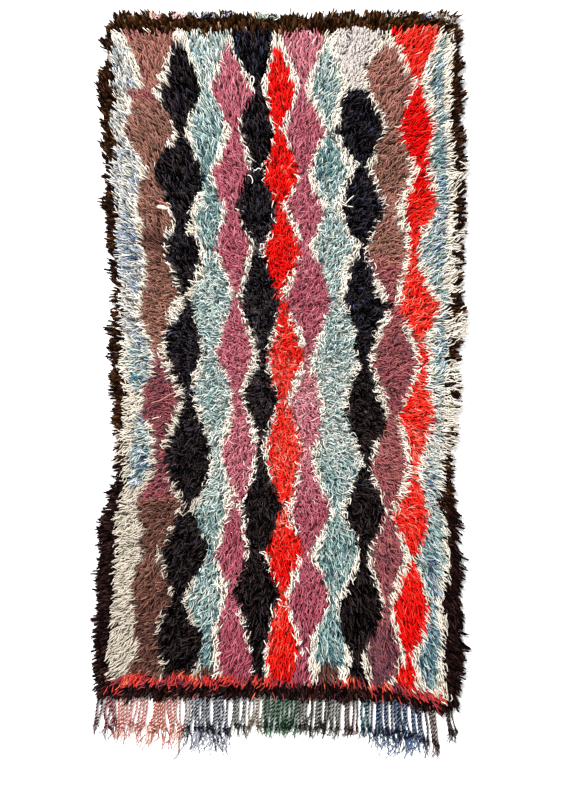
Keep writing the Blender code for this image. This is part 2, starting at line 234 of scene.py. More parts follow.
# How the tone of a yarn drifts down a column: where its middle lies across, and its tone at some rows
drifts = [
    {"yarn": "umber", "across": 150,
     "down": (29, 88, 92, 97, 103, 222, 238, 256, 285, 300,
              345, 355, 497, 503, 545, 560, 600, 655, 668),
     "tone": (0.50, 0.48, 0.70, 0.70, 0.33, 0.31, 0.10, 0.24, 0.31, 0.36,
              0.40, 0.84, 0.84, 0.15, 0.17, 0.26, 0.14, 0.12, 0.12)},
    {"yarn": "umber", "across": 392,
     "down": (45, 125, 140, 175, 207, 230, 250, 270,
              390, 434, 480, 530, 570, 600, 630, 690),
     "tone": (0.50, 0.44, 0.33, 0.34, 0.50, 0.40, 0.38, 0.72,
              0.78, 0.66, 0.70, 0.76, 0.82, 0.70, 0.86, 0.96)},
    {"yarn": "umber", "across": 205, "down": (660, 690), "tone": (0.08, 0.08)},
    {"yarn": "umber", "across": 330, "down": (660, 690), "tone": (0.08, 0.14)},
    {"yarn": "plum", "across": 232,
     "down": (40, 110, 158, 204, 250, 339, 384, 429, 474, 520, 565, 610, 655),
     "tone": (0.50, 0.46, 0.38, 0.49, 0.44, 0.49, 0.52, 0.55, 0.56, 0.38, 0.40, 0.47, 0.26)},
    {"yarn": "plum", "across": 306,
     "down": (28, 60, 96, 130, 182, 226, 350, 399, 442, 486, 525, 572, 616, 660),
     "tone": (0.66, 0.64, 0.48, 0.42, 0.41, 0.47, 0.38, 0.76, 0.64, 0.54, 0.33, 0.44, 0.30, 0.28)},
    {"yarn": "red", "across": 283,
     "down": (46, 200, 270, 300, 320, 340, 400, 450, 490, 520, 545, 575, 610, 690),
     "tone": (0.32, 0.34, 0.36, 0.50, 0.52, 0.53, 0.56, 0.66, 0.50, 0.66, 0.44, 0.34, 0.50, 0.40)},
    {"yarn": "red", "across": 418,
     "down": (22, 80, 110, 135, 179, 200, 240, 290,
              345, 400, 445, 475, 540, 580, 610, 690),
     "tone": (0.54, 0.52, 0.24, 0.28, 0.34, 0.46, 0.50, 0.57,
              0.58, 0.56, 0.66, 0.70, 0.50, 0.50, 0.32, 0.28)},
    {"yarn": "black", "across": 182, "down": (41, 400, 430, 680), "tone": (0.42, 0.55, 0.40, 0.22)},
    {"yarn": "black", "across": 258,
     "down": (29, 90, 350, 430, 680),
     "tone": (0.72, 0.45, 0.55, 0.30, 0.22)},
    {"yarn": "black", "across": 364,
     "down": (88, 300, 350, 400, 680),
     "tone": (0.60, 0.66, 0.55, 0.20, 0.20)},
    {"yarn": "teal", "across": 208,
     "down": (30, 90, 120, 160, 200, 260, 290, 345, 390,
              412, 450, 480, 520, 570, 600, 638, 669),
     "tone": (0.38, 0.42, 0.54, 0.62, 0.62, 0.56, 0.40, 0.48, 0.42,
              0.48, 0.20, 0.37, 0.51, 0.56, 0.43, 0.68, 0.56)},
    {"yarn": "teal", "across": 335,
     "down": (46, 100, 140, 175, 200, 245, 290, 330, 370,
              400, 435, 460, 490, 530, 560, 590, 630, 669),
     "tone": (0.36, 0.50, 0.62, 0.66, 0.42, 0.46, 0.38, 0.44, 0.38,
              0.34, 0.28, 0.44, 0.48, 0.52, 0.64, 0.60, 0.60, 0.64)},
    {"yarn": "teal", "across": 440,
     "down": (30, 60, 100, 150, 190, 245, 280, 330, 370, 410,
              450, 480, 510, 545, 565, 600, 640, 670, 690),
     "tone": (0.32, 0.58, 0.59, 0.66, 0.55, 0.54, 0.50, 0.50, 0.45, 0.22,
              0.16, 0.44, 0.50, 0.60, 0.65, 0.54, 0.72, 0.80, 0.68)},
    {"yarn": "teal", "across": 137,
     "down": (340, 372, 380, 400, 440, 455, 480),
     "tone": (0.45, 0.50, 0.60, 0.42, 0.48, 0.62, 0.50)},
    {"yarn": "pale", "across": 120,
     "down": (32, 60, 80, 95, 115, 160, 205, 235, 250, 280, 300, 340),
     "tone": (0.28, 0.30, 0.42, 0.16, 0.32, 0.42, 0.34, 0.60, 0.52, 0.50, 0.28, 0.22)},
    {"yarn": "pale", "across": 138,
     "down": (340, 372, 380, 400, 440, 455, 480),
     "tone": (0.50, 0.55, 0.62, 0.48, 0.54, 0.62, 0.53)},
    {"yarn": "pale", "across": 440,
     "down": (30, 60, 100, 150, 190, 245, 280, 330, 370,
              410, 450, 480, 520, 565, 600, 640, 690),
     "tone": (0.34, 0.60, 0.57, 0.64, 0.56, 0.52, 0.50, 0.56, 0.56,
              0.30, 0.28, 0.43, 0.49, 0.62, 0.58, 0.66, 0.76)},
    {"yarn": "cream", "across": 120, "down": (30, 330, 490, 680), "tone": (0.60, 0.54, 0.22, 0.16)},
    {"yarn": "cream", "across": 285, "down": (30, 680), "tone": (0.66, 0.62)},
    {"yarn": "cream", "across": 445, "down": (30, 400, 680), "tone": (0.52, 0.50, 0.42)},
]

# Where the dark border ends inside, and how much of it is really there
sideBorders = {
    "left": {
        "down": (29, 60, 75, 85, 108, 118, 135, 150, 165, 185, 205, 225, 250, 280, 300, 325,
                 345, 365, 385, 405, 420, 445, 470, 490, 505, 525, 545, 565, 600, 625, 660, 690),
        "end": (109, 109, 109, 111, 110, 108, 112, 111, 107, 109, 112, 113, 112, 115, 115, 116,
                117, 115, 121, 118, 120, 119, 120, 121, 114, 109, 113, 110, 109, 106, 105, 104),
        "share": (1, 1, 1, 1, 1, 1, 1, 1, .8, .8, 1, 1, .9, 1, 1, .9,
                  .9, .8, 1, 1, .75, .6, .7, .9, 1, 1, 1, 1, 1, 1, 1, 1),
    },
    "right": {
        "down": (29, 45, 60, 80, 100, 115, 130, 150, 165, 175, 195, 215, 235, 252,
                 275, 290, 300, 315, 330, 340, 352, 362, 380, 392, 402, 424, 435, 455,
                 475, 490, 500, 512, 525, 545, 565, 585, 600, 610, 622, 650, 690),
        "end": (457, 456, 456, 455, 456, 454, 456, 459, 458, 457, 458, 460, 459, 457,
                459, 458, 456, 454, 456, 452, 450, 453, 453, 452, 454, 450, 449, 447,
                449, 448, 444, 447, 451, 450, 452, 450, 446, 444, 448, 447, 449),
        "share": (1, 1, .9, 1, 1, 1, 1, 1, .8, .5, 1, .85, .6, .6,
                  .7, .75, .9, .55, .3, .5, .8, .4, .4, .7, .3, .45, .5, .5,
                  .9, 1, 1, 1, 1, 1, 1, 1, 1, 1, 1, 1, 1),
    },
}
# The side borders break up in holes of some size, half by noise and half by single strands
holes = {"size": 4, "seed": 7, "share": 0.5, "inward": 0.5}
endBorders = {
    "upperEnd": 28, "redStart": 24, "coloured": 0.10, "colouredStart": 672,
    "across": (96, 120, 250, 340, 395, 410, 430, 445, 452, 462),
    "lowerStart": (684, 689, 688, 689.5, 694, 698, 705, 708, 700, 690),
    "tuftAcross": (104, 112, 130, 145, 160, 176, 200, 230, 262, 290, 330, 370, 395, 420, 435, 446),
    "tuftStart": (680, 678, 672, 674, 681, 676, 680, 677, 680, 682, 682, 683, 686, 689, 695, 701),
}
# How the boundaries waver: by how many chart steps, over what size, about which middle
waver = {
    "tuft": {"shift": 5, "size": 9, "middle": 0.4, "seed": 3},
    "lower": {"shift": 3, "size": 7, "middle": 0.5, "seed": 5},
    "side": {"shift": 4, "size": 3.5, "middle": 0.5, "seed": 9},
    "upper": {"shift": 5, "size": 5, "middle": 0.5, "seed": 11},
    "across": {"shift": 3.0, "size": 3.5, "middle": 0.5, "seed": 61},
    "down": {"shift": 3.0, "size": 3.5, "middle": 0.5, "seed": 67},
}

# The outer columns hold undyed yarn among the teal: its share down the right one, and in the left one
undyed = {"down": (30, 98, 142, 186, 229, 273, 317, 361, 404, 448, 492, 535, 630, 690),
          "right": (0.42, 0.34, 0.28, 0.38, 0.58, 0.45, 0.40, 0.40, 0.75, 0.75, 0.50, 0.35, 0.35, 0.15),
          "rightFrom": 414, "left": 0.50, "leftTo": 152}

# Yarns of the pile. The tones vary by patches and by single strands, and some strands stray further.
# A strand's painted light is spread by the yarn's contrast about its glow: partly random tone, partly
# painted highlights and painted shade between strands. At its root, painted shade leaves a strand only a
# share of its colour, given as root.
yarns = {
    # black's wide contrast gives single strands painted grey highlights
    "black": {"patch": 0.10, "spread": 0.22, "stray": 0.16, "contrast": 1.25, "glow": 0.46, "root": 0.0,
              "gloss": 0.01,
              "ramp": [(0.0, "#463634"), (0.35, "#42383a"), (0.6, "#3f3a42"), (0.85, "#363848"),
                       (1.0, "#414a70")]},
    # red's palest pink stops are partly painted highlights on single strands
    "red": {"patch": 0.10, "spread": 0.20, "stray": 0.20, "contrast": 0.34, "glow": 1.0, "root": 0.61,
            "gloss": 0.02,
            "ramp": [(0.0, "#d4060a"), (0.3, "#f01010"), (0.6, "#fa3426"), (0.8, "#ff6c58"),
                     (1.0, "#ffb0a0")]},
    "plum": {"patch": 0.06, "spread": 0.15, "stray": 0.16, "contrast": 0.27, "glow": 0.98, "root": 0.65,
             "gloss": 0.06,
             "ramp": [(0.0, "#8c3244"), (0.35, "#b4586a"), (0.6, "#d07a86"), (0.85, "#e2a0a9"),
                      (1.0, "#f4d0d0")]},
    "umber": {"patch": 0.04, "spread": 0.09, "stray": 0.12, "contrast": 0.56, "glow": 0.86, "root": 0.41,
              "gloss": 0.06,
              "ramp": [(0.0, "#4e322d"), (0.15, "#7a4f45"), (0.32, "#a67766"), (0.5, "#c28777"),
                       (0.62, "#c07470"), (0.76, "#b96268"), (0.9, "#84505a"), (1.0, "#6a404c")]},
    "teal": {"patch": 0.05, "spread": 0.24, "stray": 0.34, "contrast": 0.36, "glow": 1.08, "root": 0.27,
             "gloss": 0.10,
             "ramp": [(0.0, "#fffcf0"), (0.20, "#f4f9f1"), (0.42, "#d8eae5"), (0.58, "#adccc8"),
                      (0.72, "#7ca5a0"), (0.88, "#4f818d"), (1.0, "#2a5e78")]},
    "pale": {"patch": 0.10, "spread": 0.24, "stray": 0.34, "contrast": 0.42, "glow": 1.06, "root": 0.24,
             "gloss": 0.10,
             "ramp": [(0.0, "#fffaee"), (0.2, "#fdf6ea"), (0.4, "#f3f0e6"), (0.6, "#c9d3dc"),
                      (0.78, "#8eaace"), (1.0, "#3a5c94")]},
    "chalk": {"patch": 0.10, "spread": 0.14, "stray": 0.10, "contrast": 0.02, "glow": 0.69, "root": 0.95,
              "gloss": 0.10,
              "ramp": [(0.0, "#c4bbb3"), (0.5, "#bab1ab"), (1.0, "#ada9a7")]},
    "cream": {"patch": 0.08, "spread": 0.13, "stray": 0.12, "contrast": 0.14, "glow": 0.96, "root": 0.74,
              "gloss": 0.10,
              "ramp": [(0.0, "#b6ab9b"), (0.35, "#d9cebd"), (0.6, "#f3eadb"), (0.85, "#faf5e9"),
                       (1.0, "#fae4d6")]},
    "border": {"patch": 0.12, "spread": 0.16, "stray": 0.16, "contrast": 0.86, "glow": 0.46, "root": 0.06,
               "gloss": 0.01,
               "ramp": [(0.0, "#331f20"), (0.3, "#3c2524"), (0.5, "#4c2f1d"), (0.62, "#5a3519"),
                        (0.85, "#6c4622"), (1.0, "#b09474")]},
    "tuft": {"patch": 0.10, "spread": 0.12, "stray": 0.12, "contrast": 0.40, "glow": 1.0, "root": 0.40,
             "gloss": 0.04,
             "ramp": [(0.0, "#3c1216"), (0.25, "#a04c5a"), (0.5, "#c8464c"), (0.7, "#f03a2e"),
                      (1.0, "#ff8262")]},
}
# How much wider the cream outlines run than the gaps between the charted columns
creamRoom = {"teal": 1.3, "pale": 1.3, "black": -0.6}
yarnNumber = {name: number for number, name in enumerate(yarns)}


# Edges of the pile, read from the imported slab

# lockLight, brightest and darkest bound the strands' painted light: how much a lock shifts it, and its
# highest and lowest
pile = {"node": "rug_pile", "groundHeight": 0.0028, "inset": 0.021, "topInset": 0.011, "toneSteps": 64,
        "flowLevel": 0.03, "flowReach": 1.1, "lockSize": 0.015, "borderLockSize": 0.027, "knotShare": 0.75,
        "cornerReach": 0.05, "blackShare": 0.88, "seenShare": 0.80, "lockLight": 0.07, "brightest": 1.4,
        "darkest": 0.10, "mapFrom": 0.02, "mapShare": 0.96}
# Where the rim is read: from, to and in how many places, how near to each, and how far out an edge lies
rimReading = {"along": (-1.10, 1.24, 80), "across": (-0.61, 0.59, 36), "near": 0.04, "flat": 0.0005,
              "left": -0.53, "right": 0.53, "top": 1.20, "bottom": -1.08}


def edgeAt(points, axis, places):
    # the mean edge of the slab within a little way of each place
    near = [points[abs(points[:, axis] - place) < rimReading["near"]] for place in places]
    return np.array([found[:, 1 - axis].mean() for found in near])


def readEdges():
    points = np.array([v.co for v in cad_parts[pile["node"]].data.vertices])
    rim = points[points[:, 2] < rimReading["flat"]][:, :2]
    along, across = np.linspace(*rimReading["along"]), np.linspace(*rimReading["across"])
    x, y = rim[:, 0], rim[:, 1]
    return {"along": along, "across": across,
            "left": edgeAt(rim[x < rimReading["left"]], 1, along),
            "right": edgeAt(rim[x > rimReading["right"]], 1, along),
            "top": edgeAt(rim[y > rimReading["top"]], 0, across),
            "bottom": edgeAt(rim[y < rimReading["bottom"]], 0, across)}


edges = readEdges()

# How many chart steps the outermost roots are moved outwards, as the outline is uneven
rimShift = {
    "left": {
        "place": (30, 45, 60, 76, 90, 110, 130, 150, 175, 200, 230, 270, 310, 330,
                  350, 370, 390, 410, 430, 490, 505, 530, 550, 570, 590, 605, 625, 680),
        "shift": (0.5, 4.5, -9, -1, 3.5, 4, 2.5, 2, 0, 0, 1.5, 2, -3.5, 1,
                  5, 2, 4, -0.5, 1.5, 2.5, 0, -1.5, -3.5, -1, 0, -3.5, 0, 0),
    },
    "right": {
        "place": (30, 50, 70, 100, 150, 170, 210, 250, 290, 310, 330, 350, 370,
                  390, 410, 430, 450, 490, 510, 530, 550, 570, 590, 610, 680),
        "shift": (2.5, -2.5, -3, 0, 2, 4.5, 0.5, 0, 1.5, 6, 5, -3, -1,
                  5.5, 3, 2.5, 2, 2, 0, -1.5, 2.7, 1, -1.5, 1.8, 0),
    },
    "top": {
        "place": (96, 110, 125, 150, 168, 185, 205, 225, 250, 268,
                  288, 310, 330, 352, 370, 390, 410, 430, 450, 462),
        "shift": (1, 1, -1.4, 3.6, 0, -3.8, -4.5, -3, -3, -0.5,
                  -2.8, -1.8, 1.6, 1.2, -3.4, -1.4, 2, 3, 3.6, 3.6),
    },
}


def shiftAt(side, place):
    return np.interp(place, rimShift[side]["place"], rimShift[side]["shift"]) * chart["step"]


def rimGaps(x, y):
    # how far a point is inside the outermost roots of the sides and of the ends
    left = x - np.interp(y, edges["along"], edges["left"]) + shiftAt("left", toDown(y))
    right = np.interp(y, edges["along"], edges["right"]) - x + shiftAt("right", toDown(y))
    top = np.interp(x, edges["across"], edges["top"]) - y - pile["topInset"] + shiftAt("top", toAcross(x))
    bottom = y - np.interp(x, edges["across"], edges["bottom"]) - pile["inset"]
    return np.minimum(left, right) - pile["inset"], np.minimum(top, bottom)


def rimDistance(x, y):
    return np.minimum(*rimGaps(x, y))


# Yarn and tone at a place on the chart

noise = {"cells": 64, "start": 1000.0}


def softNoise(x, y, size, seed):
    # smooth value noise from 0 to 1
    cells = noise["cells"]
    grid = np.random.default_rng(seed).random((cells, cells))
    gx, gy = x / size + noise["start"], y / size + noise["start"]
    ix, iy = np.floor(gx).astype(int), np.floor(gy).astype(int)
    fx, fy = gx - ix, gy - iy
    fx, fy = fx * fx * (3 - 2 * fx), fy * fy * (3 - 2 * fy)
    corner = [grid[(ix + i) % cells, (iy + j) % cells] for i in (0, 1) for j in (0, 1)]
    low = corner[0] * (1 - fy) + corner[1] * fy
    high = corner[2] * (1 - fy) + corner[3] * fy
    return low * (1 - fx) + high * fx


def waverAt(name, x, y):
    way = waver[name]
    return way["shift"] * (softNoise(x, y, way["size"], way["seed"]) - way["middle"])


def isYarn(found, name):
    return found == yarnNumber[name]


def inTufts(across):
    return (across > endBorders["tuftAcross"][0]) & (across < endBorders["tuftAcross"][-1])


def lowerStartAt(across):
    return np.interp(across, endBorders["across"], endBorders["lowerStart"])


def borderAt(side, part, down):
    return np.interp(down, sideBorders[side]["down"], sideBorders[side][part])


def yarnAt(across, down, tipAcross, tipDown):
    count = len(across)
    found = np.full(count, yarnNumber["cream"])
    for column in reversed(columns):
        room = creamRoom.get(column["yarn"], 0)
        left = np.interp(down, column["down"], column["left"]) + room
        right = np.interp(down, column["down"], column["right"]) - room
        level = (down > column["down"][0]) & (down < column["down"][-1])
        found[(across > left) & (across < right) & level] = yarnNumber[column["yarn"]]
    undyedRight = np.interp(down, undyed["down"], undyed["right"])
    undyedShare = np.where(across > undyed["rightFrom"], undyedRight, 0)
    undyedShare = np.where(across < undyed["leftTo"], undyed["left"], undyedShare)
    found[isYarn(found, "teal") & (rng.random(count) < undyedShare)] = yarnNumber["pale"]
    tuftStart = np.interp(across, endBorders["tuftAcross"], endBorders["tuftStart"])
    found[(down > tuftStart + waverAt("tuft", across, down)) & inTufts(across)] = yarnNumber["tuft"]
    dark = tipDown > lowerStartAt(across) + waverAt("lower", across, down)
    chance = softNoise(tipAcross, tipDown, holes["size"], holes["seed"]) * holes["share"]
    chance = chance + rng.random(count) * holes["share"]
    notch = waverAt("side", tipAcross, tipDown)
    onLeft = tipAcross < borderAt("left", "end", tipDown) + holes["inward"] + notch
    onRight = tipAcross > borderAt("right", "end", tipDown) - holes["inward"] + notch
    dark |= onLeft & (chance < borderAt("left", "share", tipDown))
    dark |= onRight & (chance < borderAt("right", "share", tipDown))
    upperEnd = np.where(isYarn(found, "red"), endBorders["redStart"], endBorders["upperEnd"])
    dark |= tipDown < upperEnd + waverAt("upper", tipAcross, tipDown)
    found[dark] = yarnNumber["border"]
    coloured = dark & (tipDown > endBorders["colouredStart"]) & inTufts(across)
    found[coloured & (rng.random(count) < endBorders["coloured"])] = yarnNumber["tuft"]
    return found


# The border's tone, which fades below certain rows left and right of its middle, and the tufts' tone
borderTone = {"upper": 0.62, "upperEnd": 32, "brown": 0.50, "faded": 0.68, "middle": 280,
              "leftStart": 430, "leftReach": 70, "rightStart": 490, "rightReach": 60}
tuftTone = {"across": (290, 370, 445), "warm": (0.02, 0.06, 0.20), "lower": 0.20, "lowerGap": 1.5,
            "lowerReach": 5, "noise": 1.08, "size": 6.5, "seed": 17}
# How much patches, locks, single strands and strays differ in tone, and the ends of the scale
differing = {"patchSize": 14, "seed": 29, "patch": 1.4, "lock": 0.45, "single": 0.75, "strays": 0.20,
             "lowest": 0.004, "highest": 0.996}


def toneAt(found, across, down, lockTone):
    tone = np.full(len(across), 0.5)
    for name in sorted({d["yarn"] for d in drifts}):
        own = [d for d in drifts if d["yarn"] == name]
        middles = np.array([d["across"] for d in own])
        values = np.array([np.interp(down, d["down"], d["tone"]) for d in own])
        nearest = abs(across[None, :] - middles[:, None]).argmin(0)
        mine = isYarn(found, name)
        tone[mine] = values[nearest, np.arange(len(across))][mine]
    border = isYarn(found, "border")
    leftFade = (down - borderTone["leftStart"]) / borderTone["leftReach"]
    rightFade = (down - borderTone["rightStart"]) / borderTone["rightReach"]
    fade = np.where(across < borderTone["middle"], leftFade, rightFade)
    brown = np.where(down < borderTone["upperEnd"], borderTone["upper"], borderTone["brown"])
    tone[border] = (brown * (1 - borderTone["faded"] * np.clip(fade, 0, 1)))[border]
    tuft = isYarn(found, "tuft")
    warm = np.interp(across, tuftTone["across"], tuftTone["warm"])
    below = (down - lowerStartAt(across) - tuftTone["lowerGap"]) / tuftTone["lowerReach"]
    warm = warm - tuftTone["lower"] * np.clip(below, 0, 1)
    speckle = softNoise(across, down, tuftTone["size"], tuftTone["seed"])
    tone[tuft] = (warm + tuftTone["noise"] * speckle)[tuft]
    for name, yarn in yarns.items():
        mine = isYarn(found, name)
        count = int(mine.sum())
        patch = softNoise(across[mine], down[mine], differing["patchSize"], differing["seed"]) - 0.5
        patch = patch * differing["patch"] + lockTone[mine] * differing["lock"]
        lone = rng.normal(0, differing["single"], count) * yarn["spread"]
        strays = np.where(rng.random(count) < differing["strays"], rng.normal(0, yarn["stray"], count), 0)
        tone[mine] += patch * yarn["patch"] + lone + strays
    return np.clip(tone, differing["lowest"], differing["highest"])


# Pile strands

# Each layer of the pile: how far apart its strands are rooted, how long, broad and tall they are, and their
# painted light; the under layer's lower light is painted shade on the strands seen in the gaps
layers = {
    "under": {"pitch": 0.0108, "rings": 1, "length": 0.042, "width": 0.0094, "height": 0.0190,
              "curl": 0.0, "spray": 0.20, "light": 0.8},
    "upper": {"pitch": 0.0088, "rings": 3, "length": 0.056, "width": 0.0035, "height": 0.0275,
              "curl": 0.0070, "spray": 0.20, "light": 1.0},
    "cream": {"pitch": 0.0081, "rings": 3, "length": 0.050, "width": 0.0040, "height": 0.0280,
              "curl": 0.0070, "spray": 0.20, "light": 1.0},
    "chalk": {"pitch": 0.0053, "rings": 2, "length": 0.036, "width": 0.0074, "height": 0.0265,
              "curl": 0.0030, "spray": 0.30, "light": 1.0},
    "border": {"pitch": 0.0068, "rings": 2, "length": 0.045, "width": 0.0068, "height": 0.0250,
               "curl": 0.0025, "spray": 0.14, "light": 1.0},
}
# The course of a strand from root to tip, for each count of rings
courses = {
    1: {"share": (0.0, 0.62, 1.0), "rise": (0.0, 0.85, 1.0), "broad": (0.0, 1.0, 0.0)},
    2: {"share": (0.0, 0.42, 0.88, 1.0), "rise": (0.0, 0.78, 1.0, 0.94), "broad": (0.0, 0.85, 1.0, 0.0)},
    3: {"share": (0.0, 0.34, 0.62, 0.94, 1.0), "rise": (0.0, 0.70, 0.98, 0.98, 0.92),
        "broad": (0.0, 0.85, 1.0, 0.85, 0.0)},
}
droopRise = {"share": (0.0, 0.3, 0.6, 0.85, 1.0), "rise": (0.0, 0.72, 0.72, 0.46, 0.28)}


# The field that roots are laid in, and how far each is off its place, in pitches
field = {"left": -0.68, "right": 0.68, "low": -1.22, "high": 1.32, "scatter": 0.42}
# How the pile has been combed outwards and endwards, with strands that sway more where it is loose
combing = {"outPower": 1.2, "out": 0.95, "skew": 2.5, "steeper": 0.35,
           "swirlSize": 0.060, "swirlSeed": 41, "swirl": 0.7, "looseSwirl": 1.4,
           "lockTurn": 0.20, "looseLockTurn": 0.45, "looseSpray": 0.20,
           "lean": 0.45, "combedLean": 0.42, "lockLean": 0.06, "ownLean": 0.05, "leans": (0.2, 0.95),
           "lockLength": 0.09, "borderLockLength": 0.15, "ownLength": 0.08, "cornerLength": 0.35,
           "lengths": (0.6, 1.45), "widths": (0.78, 1.2),
           "lockHeight": 0.05, "ownHeight": 0.09, "heights": (0.008, 0.031), "dip": 0.12, "dipReach": 0.8,
           "droop": 0.85, "droopReach": 0.045, "droopPower": 1.4,
           "curl": 0.5, "looseCurl": 0.9, "wave": 0.7, "roll": 0.45}
# The locks of the pile: how far their borders waver, in lock sizes, and after how many they repeat
locks = {"waver": 1.6, "waverSize": 1.3, "seedX": 73, "seedY": 79, "repeatX": 101, "repeatY": 103}


def flowAt(x, y):
    # which way the pile has been trodden and combed: outwards, and along the rug near its middle
    left = np.interp(y, edges["along"], edges["left"])
    right = np.interp(y, edges["along"], edges["right"])
    u = (x - (left + right) / 2) / ((right - left) / 2)
    v = (y - pile["flowLevel"]) / pile["flowReach"]
    outward = np.sign(u) * abs(u) ** combing["outPower"] * combing["out"]
    skew = np.clip(u * v * combing["skew"], -1, 1)  # the upper left and lower right lie steeper
    endward = v * (1.0 - combing["steeper"] * skew)
    return outward, endward


def layRoots(pitch):
    # roots on a staggered grid, each a little off its place
    x, y = np.meshgrid(np.arange(field["left"], field["right"], pitch),
                       np.arange(field["low"], field["high"], pitch))
    x[1::2] += pitch / 2
    x, y = x.ravel(), y.ravel()
    x = x + rng.uniform(-field["scatter"], field["scatter"], len(x)) * pitch
    y = y + rng.uniform(-field["scatter"], field["scatter"], len(y)) * pitch
    keep = rimDistance(x, y) > 0
    return x[keep], y[keep]


lockTable = np.random.default_rng(71).normal(size=(locks["repeatX"], locks["repeatY"], 6))


def lockAt(x, y, size):
    # the lock of pile that a root belongs to: its middle, and its turn, lean, length, height, tone, light
    over, far = size * locks["waverSize"], locks["waver"]
    wideX = x + (softNoise(x, y, over, locks["seedX"]) - 0.5) * size * far
    wideY = y + (softNoise(x, y, over, locks["seedY"]) - 0.5) * size * far
    cellX, cellY = np.floor(wideX / size).astype(int), np.floor(wideY / size).astype(int)
    own = lockTable[cellX % locks["repeatX"], cellY % locks["repeatY"]]
    middleX = (cellX + 0.5) * size - (wideX - x)
    middleY = (cellY + 0.5) * size - (wideY - y)
    return middleX, middleY, own


def spindleFaces(rings):
    # faces of a strand with three sides: a root, the rings and a tip
    side = np.arange(3)
    other = (side + 1) % 3
    faces = [np.stack([np.zeros(3, int), 1 + other, 1 + side], 1)]
    for i in range(rings - 1):
        low, high = 1 + 3 * i, 4 + 3 * i
        faces.append(np.stack([low + side, low + other, high + other], 1))
        faces.append(np.stack([low + side, high + other, high + side], 1))
    last = 3 * rings - 2
    faces.append(np.stack([last + side, last + other, np.full(3, last + 3)], 1))
    return np.concatenate(faces)


def combStrands(layer, x, y):
    # direction, lean and size of each strand
    isBorder = layer is layers["border"]
    size = pile["borderLockSize"] if isBorder else pile["lockSize"]
    middleX, middleY, own = lockAt(x, y, size)
    outward, endward = flowAt(x, y)
    strength = np.clip(np.hypot(outward, endward), 0, 1)
    count = len(x)
    loose = 1 - strength
    angle = np.arctan2(endward, outward)
    swirl = softNoise(x, y, combing["swirlSize"], combing["swirlSeed"]) - 0.5
    angle = angle + swirl * (combing["swirl"] + combing["looseSwirl"] * loose)
    angle = angle + own[:, 0] * (combing["lockTurn"] + combing["looseLockTurn"] * loose)
    angle = angle + rng.normal(0, 1, count) * (layer["spray"] + combing["looseSpray"] * loose)
    lean = combing["lean"] + combing["combedLean"] * strength
    lean = lean + own[:, 1] * combing["lockLean"] + rng.normal(0, combing["ownLean"], count)
    uneven = combing["borderLockLength" if isBorder else "lockLength"]
    grown = 1 + own[:, 2] * uneven + rng.normal(0, combing["ownLength"], count)
    corner = np.clip(1 - np.maximum(*rimGaps(x, y)) / pile["cornerReach"], 0, 1)
    grown = grown + corner * combing["cornerLength"]
    off = (x - middleX) * -np.sin(angle) + (y - middleY) * np.cos(angle)
    nearRim = np.clip(1 - rimDistance(x, y) / combing["droopReach"], 0, 1)
    taller = 1 + own[:, 3] * combing["lockHeight"] + rng.normal(0, combing["ownHeight"], count)
    height = layer["height"] * taller
    height = height * (1 - combing["dip"] * np.clip(abs(off) / size, 0, combing["dipReach"]))
    curl = layer["curl"] * (combing["curl"] + combing["looseCurl"] * loose)
    return {"x": x, "y": y, "angle": angle, "lean": np.clip(lean, *combing["leans"]), "off": off,
            "droop": nearRim ** combing["droopPower"] * combing["droop"],
            "knotX": x + (middleX - x) * pile["knotShare"], "knotY": y + (middleY - y) * pile["knotShare"],
            "length": layer["length"] * np.clip(grown, *combing["lengths"]), "lockTone": own[:, 4],
            "width": layer["width"] * rng.uniform(*combing["widths"], count),
            "height": np.clip(height, *combing["heights"]), "lockLight": own[:, 5],
            "bow": rng.normal(0, 1, count) * curl, "wave": rng.normal(0, 1, count) * curl * combing["wave"],
            "roll": rng.normal(0, combing["roll"], count)}


def seenPlace(comb, share):
    # the place on the chart of the part of a strand that is seen from above; a knot's strands keep together
    reach = comb["length"] * comb["lean"] * share
    x = comb["knotX"] + np.cos(comb["angle"]) * reach
    y = comb["knotY"] + np.sin(comb["angle"]) * reach
    return toAcross(x), toDown(y)


# How a strand bends back to its lock, how broad and deep its sides are, and how low it may lie
strand = {"reachPower": 1.15, "gather": 0.42, "gatherPower": 1.5, "rootShare": 0.6, "broad": 1.15,
          "deep": 0.62, "lowest": 0.0004}


